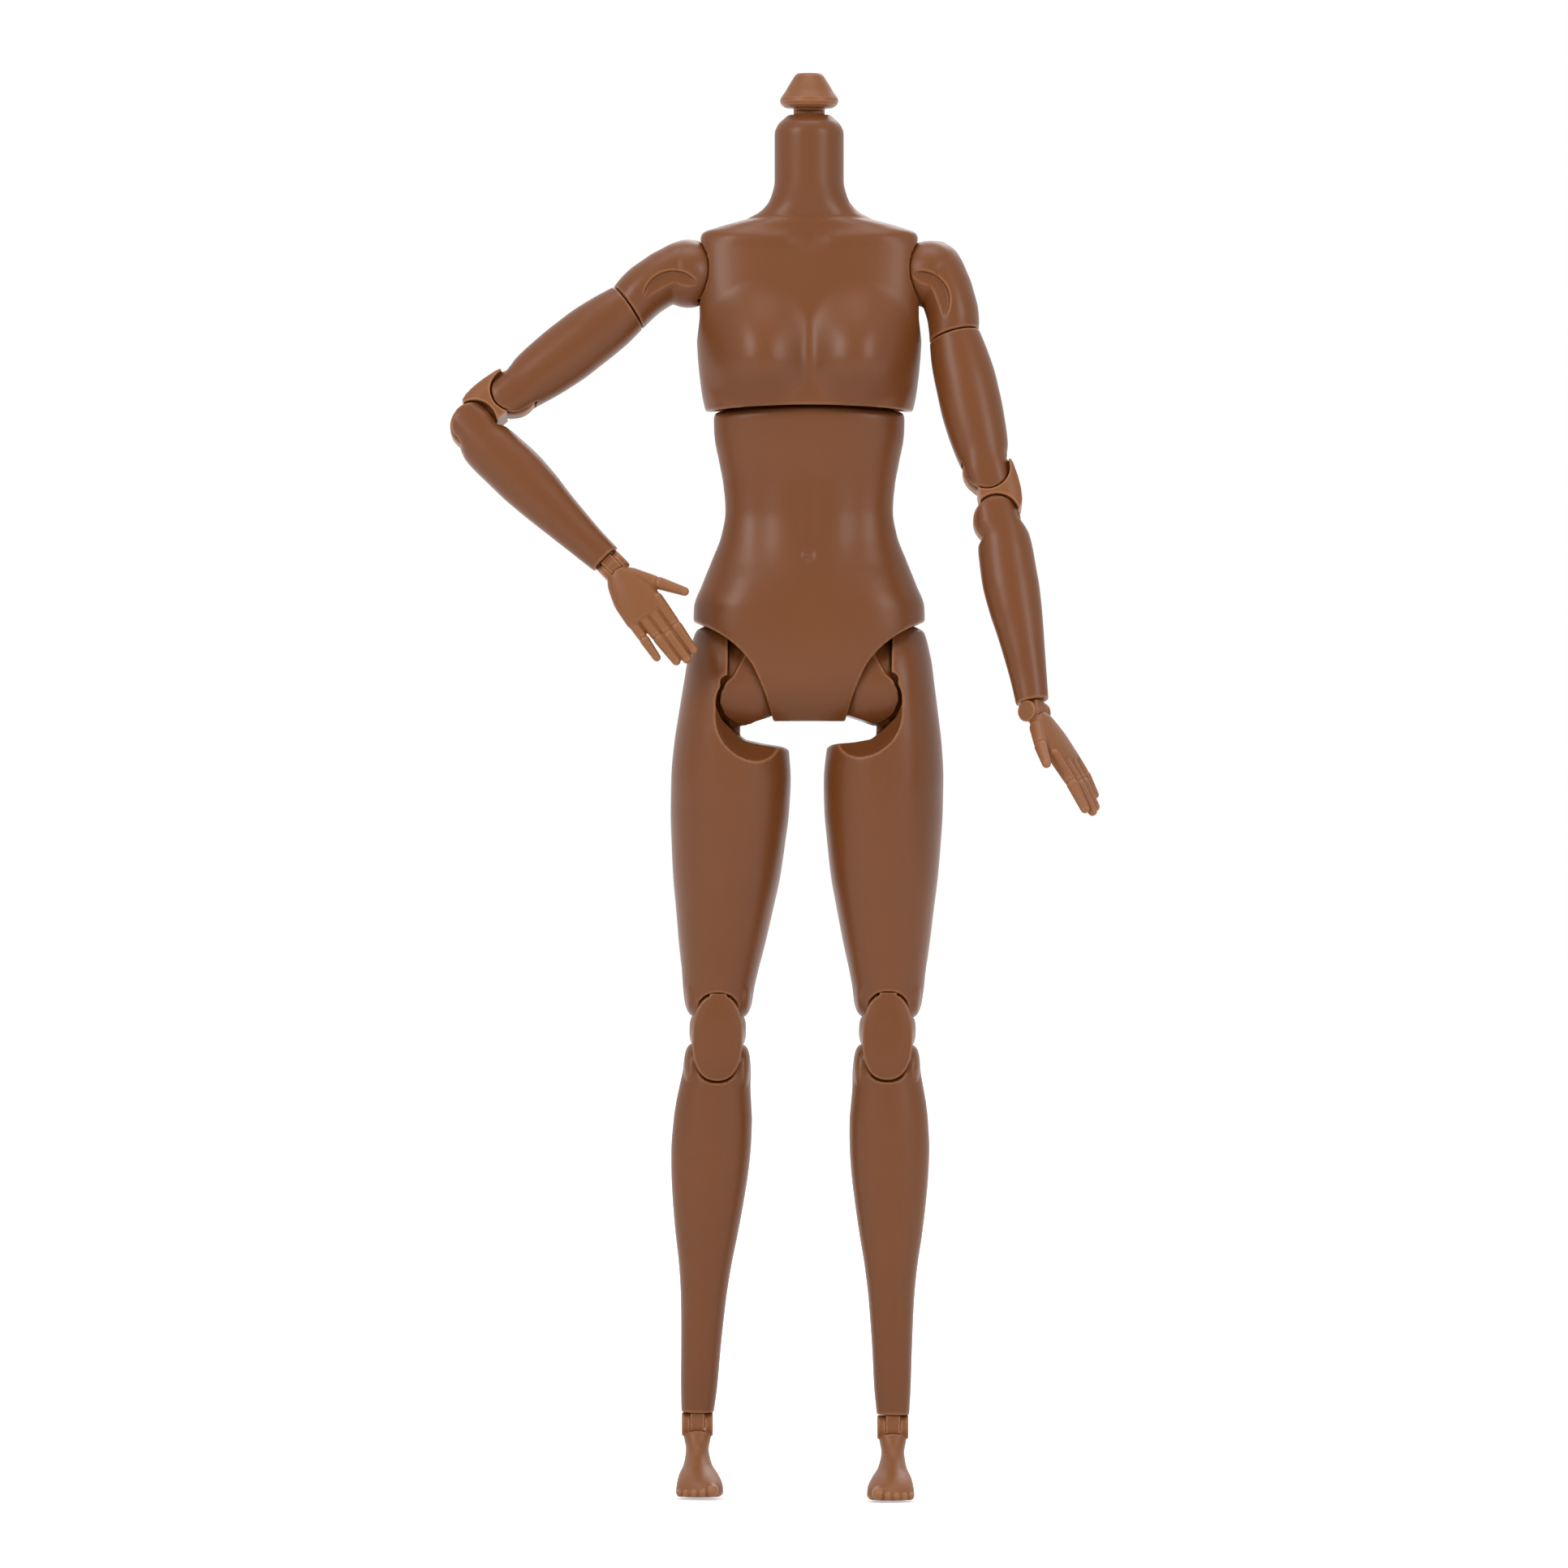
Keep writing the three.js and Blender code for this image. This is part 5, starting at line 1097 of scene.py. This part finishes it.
def make_knee_link():
    low = -KNEE_LINK_LENGTH
    middle = low / 2
    hinges = [(0, 0, 0), (0, 0, low)]
    reach = KNEE_END_RADIUS + GAP
    side_view = [
        (-reach - 0.5, middle + 6.4),
        *arc((0, 0), reach, 180, 316),
        *arc((0, low), reach, 44, 180),
        (-reach - 0.5, middle - 6.4),
    ]
    outline = ellipse(KNEECAP_MIDDLE, *KNEECAP_SIZE, 96, KNEECAP_SQUARENESS)
    swell = ball(1, (0, -1.2, KNEECAP_MIDDLE[1]), (9.5, 6.0, 15), 96)
    cap = joined(plate(outline, "y", -reach - 2.1, -reach + 0.3), keep=[swell])
    behind = block(ALL, (-reach, FAR), ALL)
    inside = joined(plate(outline, "y", -FAR, FAR), [behind])
    rounding = ball(1, (0, 0, middle), (5.35, 9, 6.8), 96)
    waist = joined(plate(side_view, "x", -5.3, 5.3), keep=[inside, rounding])
    half = 2.56
    add = [rod("x", KNEE_KNUCKLE, -half, half, hinge, 72) for hinge in hinges]
    add += [block((-half, half), (-reach - 0.3, 2.4), (low, -0.7)), cap]
    add.append(block((-1.6, 1.6), (-reach - 1.3, -reach + 0.5), (-2, -0.15)))
    cut = [rod("x", KNEE_PIN_HOLE, -FAR, FAR, hinge) for hinge in hinges]
    return modelled(waist, add=add, cut=cut, voxel=0.18)


def make_shin():
    end = SHIN_LENGTH - ANKLE_EAR - SEAM

    def at(part):
        return part * end

    stations = [
        (-4.7, 0, 5, 4.2, 1),
        (-3.9, 0, 5.7, 5.3, 2.3),
        (-2.2, 0, 6.15, 5.8, 3.95),
        (0, 0, 6.35, 5.8, 4.5),
        (at(0.05), 0.3, 6.65, 5.8, 4.9),
        (at(0.1), 0.5, 7.05, 5.8, 6.2),
        (at(0.15), 0.6, 7.35, 5.8, 7.6),
        (at(0.22), 0.8, 7.46, 5.6, 8.4),
        (at(0.29), 0.95, 7.26, 5.4, 8.3),
        (at(0.38), 1.15, 6.7, 5.1, 7.4),
        (at(0.48), 1.35, 5.85, 4.7, 6.2),
        (at(0.57), 1.5, 4.95, 4.3, 5.1),
        (at(0.67), 1.7, 4.27, 3.9, 4.2),
        (at(0.81), 2, 3.75, 3.5, 3.6),
        (at(0.92), 2.2, 3.45, 3.2, 3.3),
        (end, ANKLE_OFFSET, 3.05, 3, 3.05),
    ]
    limb = loft(stations, sides=80, down=True)
    bore = 5.55 - SHIN_LENGTH
    ankle = (ANKLE_OFFSET, 0, 0)
    cut = [
        rod("x", KNEE_KNUCKLE_ROOM, -KNEE_SLOT, KNEE_SLOT),
        block((-KNEE_SLOT, KNEE_SLOT), (0, FAR), (-2.8, FAR)),
        moved(kneecap_room(), (0, 0, KNEE_LINK_LENGTH)),
        rod("x", KNEE_PIN_HOLE, -KNEE_PIN_HALF, KNEE_PIN_HALF),
        rod("z", 1.7, -SHIN_LENGTH, bore, ankle),
        rod("z", 2.25, bore - 1.85, bore, ankle),
    ]
    return modelled(limb, add=[knee_end((0, 0, 0))], cut=cut, voxel=0.24)


TOE_ROOT = 11.5  # in front of the ankle
TOE_REACH = 14.9
# Each toe's place across the foot, its radius, and how far its tip is past that reach
TOES = [(-2.9, 1.35, 0.3), (-1.1, 1.0, 0), (0.5, 0.95, -0.3), (1.95, 0.88, -0.9), (3.2, 0.8, -1.8)]


def make_foot():
    def at(part):
        return part * ANKLE_HEIGHT

    stations = [
        (0.9, 0, 2.7, 1.9, 1.9),
        (at(0.2), 0, 2.5, 2.9, 3, ROUND, 0.1),
        (at(0.36), 0, 2.15, 3.7, 4, ROUND, -0.5),
        (at(0.55), -0.1, 2.6, 4.4, 5.2, ROUND, -3.2),
        (at(0.7), -0.3, 3.7, 4.9, 5, ROUND, -6.6),
        (at(0.83), -0.5, 4.3, 4.2, 4.6, ROUND, -9.5),
        (at(0.93), -0.5, 4.4, 3.8, 4.4, ROUND, -10.6),
        (ANKLE_HEIGHT - 0.2, -0.5, 3.8, 3.2, 3.6, ROUND, -10.9),
    ]
    body = loft(stations, sides=56, step=0.3, down=True)
    add = []
    for x, thick, past in TOES:
        start = (x * 0.93, -TOE_ROOT - 0.3 * past, -ANKLE_HEIGHT + thick + 0.25)
        end = (x, -TOE_REACH - past, -ANKLE_HEIGHT + thick)
        add.append(capsule(start, end, thick, 0.85 * thick))
    foot = joined(body, add)
    ears = rod("x", ANKLE_EAR, -2.9, 2.9)
    cut = [
        rod("x", ANKLE_ROOM, -ANKLE_SLOT, ANKLE_SLOT),
        block((-ANKLE_SLOT, ANKLE_SLOT), (-3.2, 3.2), (-0.1, FAR)),
        rod("x", ANKLE_PIN_HOLE, -2.6, 2.6),
    ]
    return modelled(foot, add=[ears], cut=cut, voxel=0.14, soften=3)


# Building the doll

for part, body, shapes in (
    ("chest", "chest", make_chest()),
    ("pelvis", "lower_body", make_pelvis()),
):
    for half, shape in zip(("front", "back"), halves(*shapes)):
        name = f"{part}_{half}"
        piece(f"{name}_shell", shape, TORSO, body, [name], "body_plastic")
piece("neck_knob", make_head_knob(), TORSO, "head_mount", ["head_knob"], "joint_plastic")

wrist_peg = make_peg(
    radius=1.9, half=1.26, stem=1.4, length=4.6, pin_hole=WRIST_PIN_HOLE, voxel=0.13
)
ankle_peg = make_peg(
    radius=2.15, half=1.36, stem=1.6, length=4.8, pin_hole=ANKLE_PIN_HOLE, voxel=0.14
)
# Each piece of a limb by its CAD node, with its shape, its body and its material
LIMB_PIECES = {
    "shoulder_cap": (make_shoulder_cap(), "shoulder", "body_plastic"),
    "upper_arm": (make_upper_arm(), "upper_arm_body", "body_plastic"),
    "elbow_link": (make_elbow_link(), "elbow", "joint_plastic"),
    "forearm": (make_forearm(), "forearm_body", "body_plastic"),
    "hand": (make_hand(), "hand_body", "joint_plastic"),
    "hip_ball": (make_hip_ball(), "hip", "body_plastic"),
    "thigh": (make_thigh(), "thigh_body", "body_plastic"),
    "knee_link": (make_knee_link(), "knee", "body_plastic"),
    "shin": (make_shin(), "shin_body", "body_plastic"),
    "foot": (make_foot(), "foot_body", "joint_plastic"),
    "wrist_peg": (wrist_peg, "wrist", "joint_plastic"),
    "ankle_peg": (ankle_peg, "ankle", "joint_plastic"),
}
for side, sign in (("left", 1), ("right", -1)):
    where = limb_frames(side)
    for label, (shape, body, slot) in LIMB_PIECES.items():
        name = f"{side}_{label}"
        piece(f"{name}_skin", shape, where[label], f"{side}_{body}", [name], slot, sign)

slots = {part["node"]: part["material_slot"] for part in frame["record"]["subparts"]}
for name, node in frame["nodes"].items():
    node.data.materials.clear()
    node.data.materials.append(FINISHES[slots[name]])

# Floor, light and camera, in metres

FLOOR_SIZE = 6.0  # from its middle to each edge
FLOOR_DROP = 0.0002  # how far it lies below the toes

corners = [(-1, -1), (1, -1), (1, 1), (-1, 1)]
floor_mesh = bpy.data.meshes.new("floor")
floor_mesh.from_pydata(
    [(x * FLOOR_SIZE, y * FLOOR_SIZE, -FLOOR_DROP) for x, y in corners], [], [(0, 1, 2, 3)]
)
floor = new_object("floor", floor_mesh)
floor.location = (TORSO[0, 3] * MM, TORSO[1, 3] * MM, 0)


def background_rays(add, link):
    """A node with 1 for rays from the camera, a mirror or glass, which see the white studio."""
    light_path = add("ShaderNodeLightPath")
    first = add("ShaderNodeMath", operation="MAXIMUM")
    both = add("ShaderNodeMath", operation="MAXIMUM")
    link(light_path, "Is Camera Ray", first, 0)
    link(light_path, "Is Glossy Ray", first, 1)
    link(first, 0, both, 0)
    link(light_path, "Is Transmission Ray", both, 1)
    return both


floor_material, add, link, shader = new_material("floor")
shader.inputs["Base Color"].default_value = (0.85, 0.85, 0.85, 1)
shader.inputs["Roughness"].default_value = 0.9
glow = add("ShaderNodeEmission")
place = add("ShaderNodeTexCoord")
away = add("ShaderNodeVectorMath", operation="LENGTH")
# The floor's glow grows away from the doll, so that the shadow at its feet stays
fade_ends = {"From Min": 0.08, "From Max": 0.5, "To Min": 0.45, "To Max": 1.0}
fade = add("ShaderNodeMapRange", **fade_ends)
link(place, "Object", away, 0)
link(away, "Value", fade, "Value")
link(fade, "Result", glow, "Strength")
seen = background_rays(add, link)
mix = add("ShaderNodeMixShader")
both = add("ShaderNodeAddShader")
link(shader, 0, both, 0)
link(glow, 0, both, 1)
link(seen, 0, mix, 0)
link(shader, 0, mix, 1)
link(both, 0, mix, 2)
output = floor_material.node_tree.nodes["Material Output"]
link(mix, 0, output, "Surface")
floor_mesh.materials.append(floor_material)

world = bpy.data.worlds.new("studio")
bpy.context.scene.world = world
world.use_nodes = True
add, link = node_maker(world)
seen = background_rays(add, link)
strength = add("ShaderNodeMapRange", **{"To Min": 0.32, "To Max": 1.0})
link(seen, 0, strength, "Value")
background = world.node_tree.nodes["Background"]
background.inputs["Color"].default_value = (1, 1, 1, 1)
link(strength, "Result", background, "Strength")

MIDDLE = Vector(TORSO[:3, 3]) * MM + Vector((0, 0, 0.14))  # of the doll, for the lights


def softbox(name, place, size, power):
    """A lamp at a place from the doll's middle, turned to it, by its two sizes and its watts."""
    light = bpy.data.lights.new(name, "AREA")
    light.shape = "RECTANGLE"
    light.size = size[0]
    light.size_y = size[1]
    light.energy = power
    obj = new_object(name, light)
    obj.location = MIDDLE + Vector(place)
    obj.rotation_euler = (-Vector(place)).to_track_quat("-Z", "Y").to_euler()


softbox("key", (-0.75, -0.75, 0.55), (0.4, 0.6), 5)
softbox("fill", (0.8, -0.8, 0.45), (0.4, 0.6), 4)
softbox("top", (0.0, -0.1, 1.1), (0.8, 0.6), 4)
softbox("back", (0.2, 0.9, 0.75), (0.8, 0.5), 3.5)

CAMERA_DISTANCE = 2.0
FRAME_WIDTH = 0.2922  # what the photograph takes in, at the doll's own distance
FRAME_CENTRE = (-4.69, 132.6)  # its middle, in millimetres in the torso's frame
SENSOR_WIDTH = 36  # in millimetres

camera_data = bpy.data.cameras.new("camera")
camera = new_object("camera", camera_data)
bpy.context.scene.camera = camera
camera.location = (
    (TORSO[0, 3] + FRAME_CENTRE[0]) * MM,
    TORSO[1, 3] * MM - CAMERA_DISTANCE,
    (TORSO[2, 3] + FRAME_CENTRE[1]) * MM,
)
camera.rotation_euler = (math.pi / 2, 0, 0)
camera_data.sensor_width = SENSOR_WIDTH
camera_data.lens = SENSOR_WIDTH * CAMERA_DISTANCE / FRAME_WIDTH
camera_data.clip_end = 50
bpy.context.scene.view_settings.view_transform = "Standard"
